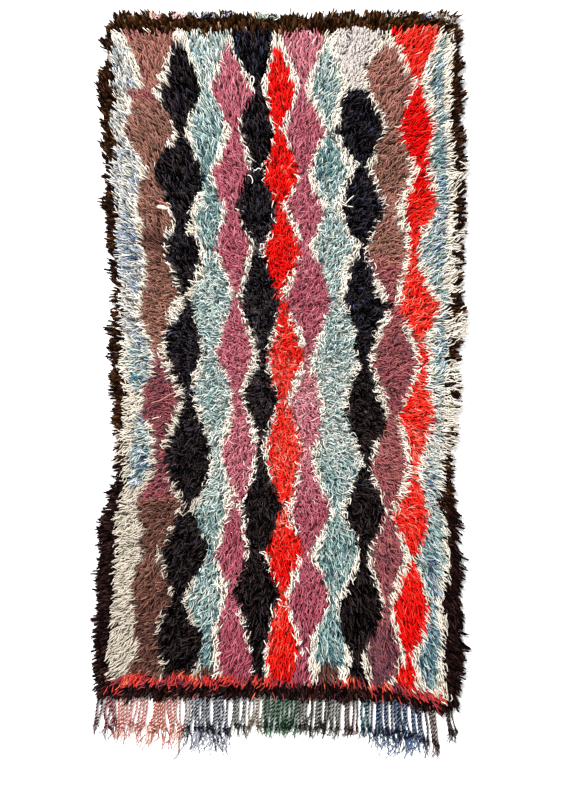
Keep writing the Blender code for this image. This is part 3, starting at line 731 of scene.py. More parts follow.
def strandPoints(comb, rings):
    # corner points of every strand, one block for each
    course = courses[rings]
    share = np.array(course["share"])[None, :]
    count, steps = len(comb["x"]), share.shape[1]
    forward = np.stack([np.cos(comb["angle"]), np.sin(comb["angle"])], 1)
    aside = np.stack([-forward[:, 1], forward[:, 0]], 1)
    reach = (comb["length"] * comb["lean"])[:, None] * share ** strand["reachPower"]
    bend = comb["bow"][:, None] * np.sin(math.pi * share)
    bend = bend + comb["wave"][:, None] * np.sin(2 * math.pi * share)
    bend = bend - strand["gather"] * comb["off"][:, None] * share ** strand["gatherPower"]
    path = np.zeros((count, steps, 3))
    path[:, :, :2] = np.stack([comb["x"], comb["y"]], 1)[:, None, :]
    path[:, :, :2] += forward[:, None, :] * reach[:, :, None] + aside[:, None, :] * bend[:, :, None]
    standing = np.array(course["rise"])[None, :]
    drooping = np.interp(share, droopRise["share"], droopRise["rise"])
    droop = comb["droop"][:, None]
    rise = comb["height"][:, None] * (standing * (1 - droop) + drooping * droop)
    path[:, :, 2] = pile["groundHeight"] * strand["rootShare"] + rise
    tangent = np.gradient(path, axis=1)
    tangent /= np.linalg.norm(tangent, axis=2, keepdims=True)
    flat = np.broadcast_to(np.append(aside, np.zeros((count, 1)), 1)[:, None, :], tangent.shape)
    up = np.cross(tangent, flat)
    up /= np.linalg.norm(up, axis=2, keepdims=True)
    turn, tilt = np.cos(comb["roll"])[:, None, None], np.sin(comb["roll"])[:, None, None]
    wide, deep = flat * turn + up * tilt, up * turn - flat * tilt
    half = comb["width"][:, None] / 2 * np.array(course["broad"])[None, :]
    corners = []
    for i in range(1, steps - 1):
        for k in range(3):
            turned = 2 * math.pi * k / 3
            outwards = wide[:, i] * math.sin(turned) * strand["broad"]
            outwards = outwards + deep[:, i] * math.cos(turned) * strand["deep"]
            corners.append(path[:, i] + outwards * half[:, i, None])
    points = np.stack([path[:, 0]] + corners + [path[:, -1]], 1)
    points[:, :, 2] = np.maximum(points[:, :, 2], strand["lowest"])
    return points


def meshFromArrays(name, points, faces):
    mesh = bpy.data.meshes.new(name)
    mesh.vertices.add(len(points))
    mesh.vertices.foreach_set("co", points.astype(np.float32).ravel())
    mesh.loops.add(faces.size)
    mesh.loops.foreach_set("vertex_index", faces.astype(np.int32).ravel())
    mesh.polygons.add(len(faces))
    mesh.polygons.foreach_set("loop_start", np.arange(0, faces.size, 3, dtype=np.int32))
    mesh.polygons.foreach_set("use_smooth", np.ones(len(faces), dtype=bool))
    mesh.update()
    mesh.validate()
    return mesh


# Where corners lie across the stripe of their tone, round a strand and round a cord, and a cord's end tones
stripes = {"middle": 0.5, "sides": [0.5, 0.85, 0.15], "cordFrom": 0.2, "cordTo": 0.8,
           "lowest": 0.01, "highest": 0.99}


def finishYarn(name, points, faces, tone, offset, along):
    # one mesh of many strands, with their tones, their painted shade and light in 'along', and a map where
    # each tone has an upright stripe that runs with 'along'
    mesh = meshFromArrays(name, points, faces)
    stripe = np.floor(tone * pile["toneSteps"])
    for label, values in (("tone", (stripe + stripes["middle"]) / pile["toneSteps"]), ("along", along)):
        mesh.attributes.new(label, "FLOAT", "POINT").data.foreach_set("value", values.astype(np.float32))
    across = (stripe + offset) / pile["toneSteps"]
    upright = pile["mapFrom"] + pile["mapShare"] * along
    places = np.stack([across[faces.ravel()], upright[faces.ravel()]], 1)
    mesh.uv_layers.new(name="OFBake").data.foreach_set("uv", places.astype(np.float32).ravel())
    item = bpy.data.objects.new(name, mesh)
    bpy.context.collection.objects.link(item)
    return item


def gatherStrands(parts):
    # joins blocks of strands that have their own counts of rings
    points, faces, tones, offsets, alongs = [], [], [], [], []
    base, middle = 0, [stripes["middle"]]
    for block, rings, tone, light in parts:
        count, corners = block.shape[:2]
        shape = spindleFaces(rings)
        points.append(block.reshape(-1, 3))
        faces.append((shape[None] + (base + np.arange(count) * corners)[:, None, None]).reshape(-1, 3))
        tones.append(np.repeat(tone, corners))
        offsets.append(np.tile(middle + stripes["sides"] * rings + middle, count))
        share = np.repeat(courses[rings]["share"], [1] + [3] * rings + [1])
        # 'along' is each corner's share from the root times the strand's painted light, for the material's
        # painted root shade and light
        alongs.append((light[:, None] * share[None, :]).ravel() / pile["brightest"])
        base += count * corners
    return [np.concatenate(each) for each in (points, faces, tones, offsets, alongs)]


def makePile():
    kept = {name: [] for name in yarns}
    for layerName, layer in layers.items():
        x, y = layRoots(layer["pitch"])
        comb = combStrands(layer, x, y)
        across, down = seenPlace(comb, pile["seenShare"])
        tipAcross, tipDown = seenPlace(comb, 1.0)
        across = across + waverAt("across", across, down)
        down = down + waverAt("down", tipAcross, tipDown)
        found = yarnAt(across, down, tipAcross, tipDown)
        tone = toneAt(found, across, down, comb["lockTone"])
        for name, yarn in yarns.items():
            own = name if name in layers else "upper"
            mine = isYarn(found, name)
            if layerName not in (own, "under"):
                continue
            if name == "black":
                mine = mine & (rng.random(len(x)) < pile["blackShare"])
            picked = {key: value[mine] for key, value in comb.items()}
            # painted light of each strand: random by the yarn's contrast, by its lock, by its layer (the
            # under layer darker, as painted shade) and by the yarn's glow
            light = rng.normal(0, yarn["contrast"], int(mine.sum()))
            light = np.exp(light + picked["lockLight"] * pile["lockLight"]) * layer["light"] * yarn["glow"]
            light = np.clip(light, pile["darkest"], pile["brightest"])
            kept[name].append((strandPoints(picked, layer["rings"]), layer["rings"], tone[mine], light))
    made = {}
    for name, parts in kept.items():
        yarn = yarns[name]
        item = finishYarn("pile_" + name, *gatherStrands(parts))
        item.data.materials.append(yarnMaterial("pile_" + name, yarn["ramp"], yarn["gloss"], yarn["root"]))
        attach(item, "root")
        made[name] = item
        print(item.name, len(item.data.polygons), "faces")
    return made


pilePieces = makePile()
print("pile done")


# Woven ground under the pile

# darkenedBacks darkens the yarn colours on the ground: painted shade on its top where the pile's gaps show
# it, and the same on the underside
ground = {"thickness": 0.0026, "columns": 60, "rows": 120, "overhang": 0.003, "roughness": 0.92,
          "gloss": 0.2, "warpColour": "#7d6e64", "warpShare": 0.45, "weftScale": 34.0, "warpScale": 60.0,
          "bumpStrength": 0.6, "bumpHeight": 0.0015, "darkenedBacks": 0.85}


def makeGround():
    bpy.ops.mesh.primitive_grid_add(x_subdivisions=ground["columns"], y_subdivisions=ground["rows"],
                                    size=2.0)
    item = bpy.context.object
    item.name = "ground_weave"
    item.data.name = "ground_weave"
    points = np.array([v.co for v in item.data.vertices])
    u, v = (points[:, 0] + 1) / 2, (points[:, 1] + 1) / 2
    inset, topInset = pile["inset"] - ground["overhang"], pile["topInset"] - ground["overhang"]
    low, high = edges["bottom"].min() + inset, edges["top"].max() - topInset
    y = low + (high - low) * v
    for _ in range(3):  # each pair of edges is read at the places that the other gives
        left = np.interp(y, edges["along"], edges["left"]) + inset
        right = np.interp(y, edges["along"], edges["right"]) - inset
        x = left + (right - left) * u
        low = np.interp(x, edges["across"], edges["bottom"]) + inset
        high = np.interp(x, edges["across"], edges["top"]) - topInset
        y = low + (high - low) * v
    flat = np.stack([x, y, np.full(len(x), ground["thickness"])], 1)
    item.data.vertices.foreach_set("co", flat.astype(np.float32).ravel())
    item.data.update()
    solid = item.modifiers.new("thickness", "SOLIDIFY")
    solid.thickness = ground["thickness"]
    solid.offset = -1
    bpy.ops.object.modifier_apply(modifier=solid.name)
    bpy.ops.object.select_all(action="DESELECT")
    size = (float((right - left).mean()), float((high - low).mean()))
    return item, size


def groundMaterial():
    material = bpy.data.materials.new("ground_weave")
    material.use_nodes = True
    link = material.node_tree.links.new
    shader = material.node_tree.nodes["Principled BSDF"]
    shader.inputs["Roughness"].default_value = ground["roughness"]
    shader.inputs["Specular IOR Level"].default_value = ground["gloss"]
    paint = addNode(material, "ShaderNodeVertexColor")
    paint.layer_name = "backs"
    place = addNode(material, "ShaderNodeTexCoord")
    weft = addNode(material, "ShaderNodeTexWave", Scale=ground["weftScale"], Distortion=1.5, Detail=2.0,
                   Detail_Scale=3.0)
    warp = addNode(material, "ShaderNodeTexWave", Scale=ground["warpScale"], Distortion=1.0)
    for wave, way in ((weft, "Y"), (warp, "X")):
        wave.bands_direction = way
        link(place.outputs["Object"], wave.inputs["Vector"])
    mix = addNode(material, "ShaderNodeMix")
    mix.data_type = "RGBA"
    mix.inputs["B"].default_value = linear(ground["warpColour"])
    share = addNode(material, "ShaderNodeMath")
    share.operation = "MULTIPLY"
    share.inputs[1].default_value = ground["warpShare"]
    link(weft.outputs["Fac"], share.inputs[0])
    link(share.outputs["Value"], mix.inputs["Factor"])
    link(paint.outputs["Color"], mix.inputs["A"])
    link(mix.outputs["Result"], shader.inputs["Base Color"])
    both = addNode(material, "ShaderNodeMath")
    both.operation = "ADD"
    link(weft.outputs["Fac"], both.inputs[0])
    link(warp.outputs["Fac"], both.inputs[1])
    bump = addNode(material, "ShaderNodeBump", Strength=ground["bumpStrength"],
                   Distance=ground["bumpHeight"])
    link(both.outputs["Value"], bump.inputs["Height"])
    link(bump.outputs["Normal"], shader.inputs["Normal"])
    return material


def rampColour(ramp, tone):
    stops = np.array([place for place, _ in ramp])
    codes = np.array([linear(code)[:3] for _, code in ramp])
    return np.stack([np.interp(tone, stops, codes[:, i]) for i in range(3)], 1)


def paintBacks(item):
    # the backs of the knots show their yarns on the underside; the darkened colours on the top are painted
    # shade seen between the strands
    points = np.array([v.co for v in item.data.vertices])
    across, down = toAcross(points[:, 0]), toDown(points[:, 1])
    found = yarnAt(across, down, across, down)
    tone = toneAt(found, across, down, np.zeros(len(points)))
    colours = np.ones((len(points), 4))
    for name, yarn in yarns.items():
        mine = isYarn(found, name)
        colours[mine, :3] = rampColour(yarn["ramp"], tone[mine]) * ground["darkenedBacks"]
    layer = item.data.color_attributes.new("backs", "FLOAT_COLOR", "POINT")
    layer.data.foreach_set("color", colours.astype(np.float32).ravel())


groundPiece, groundSize = makeGround()
paintBacks(groundPiece)
groundPiece.data.materials.append(groundMaterial())
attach(groundPiece, "root")
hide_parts(pile["node"])
print("ground done", [round(s, 3) for s in groundSize])


# Fringe of plied warp ends

# Each group's plies, dark and light, are partly the cords' own colours and partly painted shade in the
# twist's grooves and painted highlight on its crests
fringeGroups = [
    {"name": "grey", "left": 96.5, "right": 104.5, "strands": 2, "length": 0.112, "lean": -0.020,
     "loose": 0.03, "plies": ("#2c1c1a", "#c4b2ac")},
    {"name": "maroon", "left": 104.5, "right": 115.5, "strands": 3, "length": 0.110, "lean": 0.010,
     "loose": 0.04, "plies": ("#480c12", "#c08a8a")},
    {"name": "peach", "left": 117, "right": 148.5, "strands": 10, "length": 0.110, "lean": -0.026,
     "loose": 0.050, "thick": 0.98, "endShade": 0.05, "plies": ("#8a3a30", "#f6dcd2")},
    {"name": "salmon", "left": 152.5, "right": 180.5, "strands": 9, "length": 0.122, "lean": 0.008,
     "loose": 0.072, "endShade": 0.05, "plies": ("#903e2e", "#f6dacc")},
    {"name": "dusky", "left": 183, "right": 190, "strands": 2, "length": 0.125, "lean": -0.006,
     "loose": 0.03, "plies": ("#3a2422", "#ecdcd8")},
    {"name": "navy", "left": 190.5, "right": 230, "strands": 13, "length": 0.126, "lean": -0.004,
     "loose": 0.092, "plies": ("#06060e", "#b8bccc")},
    {"name": "sage", "left": 231, "right": 247, "strands": 5, "length": 0.116, "lean": -0.008,
     "loose": 0.03, "plies": ("#1a1a14", "#b8b9b0")},
    {"name": "beige", "left": 249, "right": 264, "strands": 5, "length": 0.108, "lean": -0.010,
     "loose": 0.03, "plies": ("#504638", "#dcd2c4")},
    {"name": "green", "left": 265, "right": 299.5, "strands": 12, "length": 0.114, "lean": -0.012,
     "loose": 0.03, "thick": 1.12, "plies": ("#04180a", "#5f8a6c")},
    {"name": "olive", "left": 300.5, "right": 342, "strands": 14, "length": 0.112, "lean": -0.010,
     "loose": 0.03, "plies": ("#12100a", "#918d7e")},
    {"name": "russet", "left": 343.5, "right": 359, "strands": 4, "length": 0.124, "lean": -0.006,
     "loose": 0.02, "plies": ("#180606", "#806058")},
    {"name": "teal", "left": 361, "right": 370, "strands": 3, "length": 0.110, "lean": -0.004,
     "loose": 0.03, "thick": 1.08, "plies": ("#041a20", "#4f868e")},
    {"name": "blue", "left": 371, "right": 421, "strands": 16, "length": 0.124, "lean": 0.004,
     "loose": 0.07, "thick": 1.06, "plies": ("#040a1c", "#5e789f")},
    {"name": "mauve", "left": 422.5, "right": 437, "strands": 4, "length": 0.122, "lean": 0.020,
     "loose": 0.05, "thick": 1.0, "plies": ("#1c0c0c", "#a08e8a")},
    {"name": "umber", "left": 445, "right": 454.5, "strands": 3, "length": 0.106, "lean": 0.006,
     "loose": 0.04, "plies": ("#0a0606", "#82746e")},
]
# The cords: how their two plies twist, swell at the knot and taper, and the fibres that come loose there
fringe = {"plyRadius": (0.0031, 0.0022), "plySpread": 0.0021, "twist": 0.0132, "stepsPerTurn": 6,
          "sides": (4, 3), "rootIn": 0.026, "points": 9, "leanPower": 1.6, "swings": (4.2, 9),
          "sways": (0.0050, 0.0018), "scatter": 0.28, "lengths": (0.90, 1.08), "thicknesses": (0.85, 1.12),
          "phases": (0, 6.28), "slacks": (0.85, 1.25), "knotShare": 0.90, "knotReach": 0.07,
          "knotSwell": 0.45, "taper": 0.12, "flatter": 0.9, "clear": 0.0002, "tip": 0.0006,
          "tones": (0.14, 0.68), "cordTone": 0.07, "fleck": 0.15, "endShade": 0.30, "endFrom": 0.76,
          "endReach": 0.15}
fibres = {"each": 6, "radius": 0.0015, "radii": (0.8, 1.25), "from": (0.02, 0.20), "straight": 0.6,
          "turn": 0.2, "spread": 0.16, "reaches": (0.5, 1.4), "shortest": 0.016, "curls": (0.5, 0.40),
          "tones": [0.12, 0.40, 0.60], "tone": 0.08, "steps": 8, "lift": 0.0012, "fall": 0.0020,
          "taper": 0.55, "swing": 7}
# Cords that have been pushed aside, by the points that they lie along on the chart
strayCords = [
    {"group": "maroon", "across": (109, 104.8, 104.0, 106.2, 111.5), "down": (696, 708, 716, 724, 731)},
    {"group": "maroon", "across": (111.0, 110.6, 112.0, 115.5), "down": (696, 706, 714, 721)},
    {"group": "salmon", "across": (152.5, 155.5, 155.0, 151.5, 149.0), "down": (694, 706, 713, 720, 726)},
    {"group": "salmon", "across": (156.5, 159.0, 159.5, 157.5, 148.0), "down": (694, 708, 718, 727, 733)},
    {"group": "blue", "across": (401.0, 404.8, 405.2, 402.0, 399.0), "down": (700, 714, 724, 733, 740)},
    {"group": "blue", "across": (400.5, 403.5, 406.5, 409.5), "down": (736, 729.5, 733, 741)},
]


def tube(path, radius, sides):
    # closed tube round a path, with pointed ends; path is (steps, 3), radius is (steps,)
    tangent = np.gradient(path, axis=0)
    tangent /= np.linalg.norm(tangent, axis=1, keepdims=True)
    flat = np.cross(tangent, [0.0, 0.0, 1.0])
    flat /= np.linalg.norm(flat, axis=1, keepdims=True) + 1e-9
    up = np.cross(flat, tangent)
    turn = np.arange(sides) * 2 * math.pi / sides + math.pi / sides
    ring = flat[:, None, :] * np.cos(turn)[None, :, None] + up[:, None, :] * np.sin(turn)[None, :, None]
    points = (path[:, None, :] + ring * radius[:, None, None]).reshape(-1, 3)
    steps = len(path)
    first = np.arange(steps - 1)[:, None] * sides + np.arange(sides)[None, :]
    after = np.arange(steps - 1)[:, None] * sides + (np.arange(sides)[None, :] + 1) % sides
    quads = np.stack([first, after, after + sides, first + sides], 2).reshape(-1, 4)
    faces = np.concatenate([quads[:, [0, 1, 2]], quads[:, [0, 2, 3]]])
    tips = np.stack([path[0], path[-1]])
    start, end = len(points), len(points) + 1
    circle = np.arange(sides)
    nextOne = (circle + 1) % sides
    capA = np.stack([np.full(sides, start), nextOne, circle], 1)
    last = (steps - 1) * sides
    capB = np.stack([np.full(sides, end), last + circle, last + nextOne], 1)
    return np.concatenate([points, tips]), np.concatenate([faces, capA, capB])


def leanFor(across):
    middles = [(g["left"] + g["right"]) / 2 for g in fringeGroups]
    return np.interp(across, middles, [g["lean"] for g in fringeGroups])


def hangingLine(across, length, sway):
    # the middle of a cord that lies straight out from the edge, a little wavy
    share = np.linspace(0, 1, fringe["points"])
    x = fromAcross(across)
    level = np.interp(x, edges["across"], edges["bottom"])
    aside = leanFor(across) * share ** fringe["leanPower"]
    for much, swing in zip(sway, fringe["swings"]):
        aside = aside + much * np.sin(share * swing) * share
    return np.stack([x + aside, level + fringe["rootIn"] - (length + fringe["rootIn"]) * share], 1)


def smoothLine(points, steps):
    # even steps along a line through a few points
    run = np.append(0, np.cumsum(np.hypot(*np.diff(points, axis=0).T)))
    share = np.linspace(0, 1, len(points))
    fine = np.linspace(0, 1, steps)
    out = []
    for axis in (0, 1):
        slope = np.gradient(points[:, axis], share)
        low = np.clip(np.searchsorted(share, fine, side="right") - 1, 0, len(points) - 2)
        width = share[low + 1] - share[low]
        t = (fine - share[low]) / width
        a, b = points[low, axis], points[low + 1, axis]
        out.append((2 * t ** 3 - 3 * t ** 2 + 1) * a + (t ** 3 - 2 * t ** 2 + t) * width * slope[low]
                   + (3 * t ** 2 - 2 * t ** 3) * b + (t ** 3 - t ** 2) * width * slope[low + 1])
    return np.stack(out + [np.zeros(steps)], 1), run[-1]


def plyPair(points, phase, thick, slack):
    # two plies twisted round each other, lying on the floor
    turns = smoothLine(points, fringe["points"])[1] / (fringe["twist"] * slack)
    steps = max(int(turns * fringe["stepsPerTurn"]), 8)
    line, _ = smoothLine(points, steps)
    share = np.linspace(0, 1, steps)
    tangent = np.gradient(line, axis=0)
    tangent /= np.linalg.norm(tangent, axis=1, keepdims=True)
    flat = np.stack([-tangent[:, 1], tangent[:, 0], np.zeros(steps)], 1)
    knot = np.exp(-((share - fringe["knotShare"]) / fringe["knotReach"]) ** 2)
    swell = thick * (1 + fringe["knotSwell"] * knot - fringe["taper"] * share)
    parts = []
    for ply in (0, 1):
        turn = phase + share * turns * 2 * math.pi + ply * math.pi
        spread = fringe["plySpread"] * swell
        path = line + flat * (np.cos(turn) * spread)[:, None]
        path[:, 2] = (fringe["plyRadius"][0] + fringe["plySpread"]) * swell
        path[:, 2] += np.sin(turn) * spread * fringe["flatter"] + fringe["clear"]
        radius = fringe["plyRadius"][ply] * swell
        radius[0] = radius[-1] = fringe["tip"]
        parts.append((tube(path, radius, fringe["sides"][ply]), ply, share))
    return parts, line


def looseThread(start, heading, reach, curl, radius, lift):
    # a single thread that has come loose
    steps = fibres["steps"]
    share = np.linspace(0, 1, steps)
    turn = heading + curl[0] * share + curl[1] * np.sin(share * fibres["swing"])
    path = np.zeros((steps, 3))
    path[1:, 0] = np.cumsum(np.cos(turn[1:])) * reach / steps
    path[1:, 1] = np.cumsum(np.sin(turn[1:])) * reach / steps
    path[:, :2] += start
    path[:, 2] = lift + fibres["fall"] * (1 - share)
    return tube(path, radius * (1 - fibres["taper"] * share), 3), share


class YarnBundle:
    # gathers tubes that become one mesh
    def __init__(self):
        self.points, self.faces, self.tones, self.offsets, self.alongs, self.base = [], [], [], [], [], 0

    def add(self, made, tone, share, sides):
        points, faces = made
        self.points.append(points)
        self.faces.append(faces + self.base)
        tone = np.clip(np.broadcast_to(tone, share.shape), stripes["lowest"], stripes["highest"])
        self.tones.append(np.append(np.repeat(tone, sides), [tone[0], tone[-1]]))
        # 'along' runs from the root to the end of a tube, for the painted root shade
        self.alongs.append(np.append(np.repeat(share, sides), [share[0], share[-1]]))
        around = np.tile(np.linspace(stripes["cordFrom"], stripes["cordTo"], sides), len(share))
        self.offsets.append(np.append(around, [stripes["middle"]] * 2))
        self.base += len(points)

    def finish(self, name):
        parts = (self.points, self.faces, self.tones, self.offsets, self.alongs)
        return finishYarn(name, *(np.concatenate(each) for each in parts))


# The looks of cords: their palest flecks, their shine, and the share of their colour that painted shade
# leaves them at the root
cordLook = {"darkTo": 0.35, "lightFrom": 0.65, "pale": "#d8d0c8", "gloss": 0.10, "root": 0.92}


def plyRamp(group):
    dark, light = group["plies"]
    return [(0.0, dark), (cordLook["darkTo"], dark), (cordLook["lightFrom"], light),
            (1.0, cordLook["pale"])]


def chartLine(row):
    # the points of a line on the chart
    return np.stack([fromAcross(np.array(row["across"])), fromDown(np.array(row["down"]))], 1)


def addFibre(bundle, line, loose):
    # a fibre that comes loose from the end of a cord
    start = line[-int(len(line) * rng.uniform(*fibres["from"])) - 1, :2]
    heading = math.atan2(*(line[-1, :2] - line[-fibres["steps"], :2])[::-1]) * fibres["straight"]
    heading = heading - math.pi * fibres["turn"] + rng.normal(0, fibres["spread"])
    reach = loose * rng.uniform(*fibres["reaches"]) + fibres["shortest"]
    curl = [rng.normal(0, much) for much in fibres["curls"]]
    radius = fibres["radius"] * rng.uniform(*fibres["radii"])
    made, share = looseThread(start, heading, reach, curl, radius, fibres["lift"])
    bundle.add(made, rng.choice(fibres["tones"]) + rng.normal(0, fibres["tone"]), share, 3)


def makeFringe(group):
    bundle = YarnBundle()
    pitch = (group["right"] - group["left"]) / group["strands"]
    lines = []
    for i in range(group["strands"]):
        across = group["left"] + (i + 0.5 + rng.uniform(-fringe["scatter"], fringe["scatter"])) * pitch
        sway = [rng.normal(0, much) for much in fringe["sways"]]
        lines.append(hangingLine(across, group["length"] * rng.uniform(*fringe["lengths"]), sway))
    lines += [chartLine(stray) for stray in strayCords if stray["group"] == group["name"]]
    for points in lines:
        thick = rng.uniform(*fringe["thicknesses"]) * group.get("thick", 1.0)
        pair, line = plyPair(points, rng.uniform(*fringe["phases"]), thick, rng.uniform(*fringe["slacks"]))
        for made, ply, share in pair:
            ending = np.clip((share - fringe["endFrom"]) / fringe["endReach"], 0, 1)
            shaded = group.get("endShade", fringe["endShade"]) * ending * ply
            flecks = rng.normal(0, fringe["fleck"], len(share))
            tone = fringe["tones"][ply] + rng.normal(0, fringe["cordTone"]) - shaded + flecks
            bundle.add(made, tone, share, fringe["sides"][ply])
        for _ in range(fibres["each"]):
            addFibre(bundle, line, group["loose"])
    name = "warp_ends_" + group["name"]
    item = bundle.finish(name)
    item.data.materials.append(yarnMaterial(name, plyRamp(group), cordLook["gloss"], cordLook["root"]))
    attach(item, "root")
    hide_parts("fringe_" + group["name"])
    return item


fringePieces = [makeFringe(group) for group in fringeGroups]
print("fringe done", sum(len(p.data.polygons) for p in fringePieces), "faces")


# Short warp ends that stand out past the upper border

# Their dark and light ply colours are, as in the fringe, partly own colour and partly painted shade and
# painted highlight
upperEnds = [
    {"name": "pink", "left": 149, "right": 161, "threads": 26, "reach": 0.019, "slot": "fringe_salmon",
     "plies": ("#a8605c", "#e6bcb2")},
    {"name": "rose", "left": 172, "right": 186, "threads": 28, "reach": 0.017, "slot": "fringe_salmon",
     "plies": ("#a8605c", "#e6bcb2")},
    {"name": "grey", "left": 189, "right": 196, "threads": 14, "reach": 0.013, "slot": "fringe_navy",
     "plies": ("#3c4058", "#b4b8c4")},
    {"name": "navy", "left": 201, "right": 230, "threads": 34, "reach": 0.009, "slot": "fringe_navy",
     "plies": ("#343a52", "#9aa2b4")},
    {"name": "green", "left": 256, "right": 276, "threads": 34, "reach": 0.013, "slot": "fringe_green",
     "plies": ("#4f7a66", "#cfd6c2")},
    {"name": "slate", "left": 386, "right": 410, "threads": 14, "reach": 0.012, "slot": "fringe_grey",
     "plies": ("#5c5c5c", "#b8b4b0")},
    {"name": "blue", "left": 424, "right": 433, "threads": 16, "reach": 0.012, "slot": "fringe_blue",
     "plies": ("#1e2f52", "#4c6490")},
    {"name": "taupe", "left": 436, "right": 456, "threads": 46, "reach": 0.015, "slot": "fringe_mauve",
     "plies": ("#5a4c44", "#93847a")},
]
upper = {"from": (-0.012, 0.007), "rootIn": 0.010, "reaches": (0.7, 1.2), "curls": (1.2, 0.7),
         "spread": 0.4, "radius": 0.0019, "lifts": (0.020, 0.028), "tones": [0.15, 0.8], "tone": 0.1}


def makeUpperEnds(group):
    bundle = YarnBundle()
    for _ in range(group["threads"]):
        x = fromAcross(rng.uniform(group["left"], group["right"]))
        level = np.interp(x, edges["across"], edges["top"])
        start = np.array([x, level + rng.uniform(*upper["from"])])
        curl = [rng.normal(0, much) for much in upper["curls"]]
        reach = (group["reach"] + upper["rootIn"]) * rng.uniform(*upper["reaches"])
        heading = math.pi / 2 + rng.normal(0, upper["spread"])
        lift = rng.uniform(*upper["lifts"])
        made, share = looseThread(start, heading, reach, curl, upper["radius"], lift)
        bundle.add(made, rng.choice(upper["tones"]) + rng.normal(0, upper["tone"]), share, 3)
    name = "upper_ends_" + group["name"]
    item = bundle.finish(name)
    item.data.materials.append(yarnMaterial(name, plyRamp(group), cordLook["gloss"], cordLook["root"]))
    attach(item, "root")
    return item


fringePieces += [makeUpperEnds(group) for group in upperEnds]
print("upper ends done")


# Threads that lie loose on the pile, by the points that they pass on the chart, and two fat stubs of rag

looseThreads = [
    {"yarn": "umber", "tone": 0.02, "radius": 0.0036, "across": (137, 135.5, 134, 130.5, 125.5),
     "down": (620, 629, 638, 646, 653)},
    {"yarn": "umber", "tone": 0.52, "radius": 0.0018, "across": (177, 169, 161, 151),
     "down": (392, 395, 400, 403)},
    {"yarn": "umber", "tone": 0.62, "radius": 0.0020, "across": (156, 160, 165, 171),
     "down": (200, 201.5, 203.5, 208)},
    {"yarn": "cream", "tone": 0.46, "radius": 0.0085, "across": (156.6, 162, 168.0),
     "down": (206.6, 207.2, 208.9)},
    {"yarn": "teal", "tone": 0.99, "radius": 0.0056, "across": (128.6, 133, 137.8),
     "down": (377.8, 377.0, 376.4)},
    {"yarn": "cream", "tone": 0.72, "radius": 0.0019,
     "across": (252.6, 252, 253.8, 253.8, 252.2, 250.3, 250.6, 252.6),
     "down": (92, 86, 81.5, 78, 76.4, 78.4, 81.6, 84.6)},
    {"yarn": "cream", "tone": 0.66, "radius": 0.0017, "across": (252, 254, 256, 258, 260.6),
     "down": (167.6, 170, 170.2, 168.4, 168.8)},
    {"yarn": "cream", "tone": 0.42, "radius": 0.0016, "across": (151, 155, 160), "down": (420, 418, 417)},
    {"yarn": "cream", "tone": 0.50, "radius": 0.0015, "across": (145, 149, 153.5),
     "down": (429, 426.5, 424)},
    {"yarn": "cream", "tone": 0.64, "radius": 0.0017, "across": (345, 349, 354),
     "down": (204.5, 200, 195.5)},
    {"yarn": "cream", "tone": 0.60, "radius": 0.0016, "across": (341, 347, 353.5),
     "down": (203.5, 206, 207)},
    {"yarn": "cream", "tone": 0.70, "radius": 0.0018, "across": (247, 250.5, 252.6, 252),
     "down": (175, 176, 180, 184)},
    {"yarn": "cream", "tone": 0.74, "radius": 0.0026, "across": (411, 406, 401), "down": (482, 483.5, 483)},
    {"yarn": "cream", "tone": 0.74, "radius": 0.0026, "across": (411.5, 405, 399.5),
     "down": (491, 492.5, 492)},
    {"yarn": "plum", "tone": 0.86, "radius": 0.0018, "across": (320, 317, 313, 310),
     "down": (417, 418, 420.5, 421)},
]
# root is the share of colour that painted shade leaves each thread at its first end
lying = {"height": 0.0312, "sunk": 0.6, "fatFrom": 0.005, "stepsPerPoint": 5, "sides": 5, "gloss": 0.06,
         "root": 0.92, "fatEnds": (0, 0.14, 0.36, 0.64, 0.86, 1), "swell": (0.2, 0.7, 1, 1, 0.7, 0.2),
         "thinEnds": (0, 0.06, 0.18, 0.82, 0.94, 1)}


def makeLooseThreads(name):
    bundle = YarnBundle()
    for thread in [row for row in looseThreads if row["yarn"] == name]:
        points = chartLine(thread)
        steps = lying["stepsPerPoint"] * len(points)
        line, _ = smoothLine(points, steps)
        share = np.linspace(0, 1, steps)
        line[:, 2] = lying["height"] - thread["radius"] * lying["sunk"]
        ends = lying["fatEnds" if thread["radius"] > lying["fatFrom"] else "thinEnds"]
        radius = thread["radius"] * np.interp(share, ends, lying["swell"])
        bundle.add(tube(line, radius, lying["sides"]), thread["tone"], share, lying["sides"])
    item = bundle.finish("loose_threads_" + name)
    item.data.materials.append(yarnMaterial(item.name, yarns[name]["ramp"], lying["gloss"], lying["root"]))
    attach(item, "root")
    return item


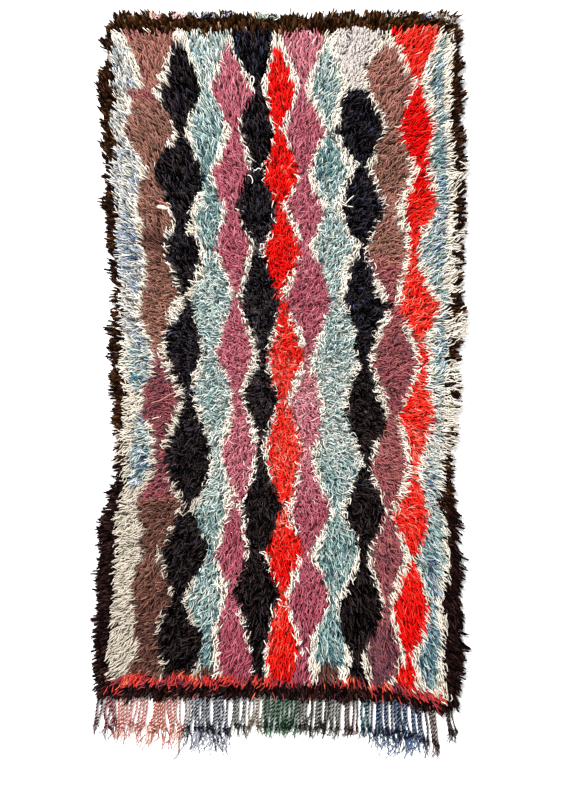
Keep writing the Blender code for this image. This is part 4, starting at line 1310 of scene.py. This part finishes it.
fringePieces += [makeLooseThreads(name) for name in ("umber", "cream", "plum", "teal")]
print("loose threads done")


# Floor, light and camera

studio = {"floor": "#ffffff", "floorSize": 14.0, "floorLevel": -0.0005, "floorRoughness": 0.9,
          "floorGloss": 0.1, "cameraHeight": 9.0, "pictureHeight": 800, "pictureAcross": 285.5,
          "pictureDown": 400.0, "skyStrength": 1.0, "sunStrength": 5.8, "sunFrom": (-0.50, 0.60, 0.75),
          "sunSize": 6.0}


def makeFloor():
    bpy.ops.mesh.primitive_plane_add(size=studio["floorSize"], location=(0, 0, studio["floorLevel"]))
    floor = bpy.context.object
    floor.name = "floor"
    material = bpy.data.materials.new("floor")
    material.use_nodes = True
    shader = material.node_tree.nodes["Principled BSDF"]
    shader.inputs["Base Color"].default_value = linear(studio["floor"])
    shader.inputs["Roughness"].default_value = studio["floorRoughness"]
    shader.inputs["Specular IOR Level"].default_value = studio["floorGloss"]
    floor.data.materials.append(material)


def makeLights():
    world = bpy.data.worlds.new("studio")
    world.use_nodes = True
    sky = world.node_tree.nodes["Background"].inputs
    sky["Color"].default_value = (1.0, 1.0, 1.0, 1.0)
    sky["Strength"].default_value = studio["skyStrength"]
    bpy.context.scene.world = world
    bpy.ops.object.light_add(type="SUN", location=studio["sunFrom"])
    sun = bpy.context.object
    sun.name = "sun"
    sun.data.energy = studio["sunStrength"]
    sun.data.angle = math.radians(studio["sunSize"])
    sun.rotation_euler = Vector(studio["sunFrom"]).to_track_quat("Z", "Y").to_euler()


def makeCamera():
    across, down = studio["pictureAcross"], studio["pictureDown"]
    bpy.ops.object.camera_add(location=(fromAcross(across), fromDown(down), studio["cameraHeight"]))
    camera = bpy.context.object
    camera.name = "camera"
    camera.rotation_euler = (0.0, 0.0, 0.0)
    seen = studio["pictureHeight"] * chart["step"]
    away = studio["cameraHeight"] - layers["upper"]["height"]
    camera.data.lens = camera.data.sensor_width * away / seen
    bpy.context.scene.camera = camera


makeFloor()
makeLights()
makeCamera()
bpy.context.scene.view_settings.view_transform = "Standard"
print("studio done")
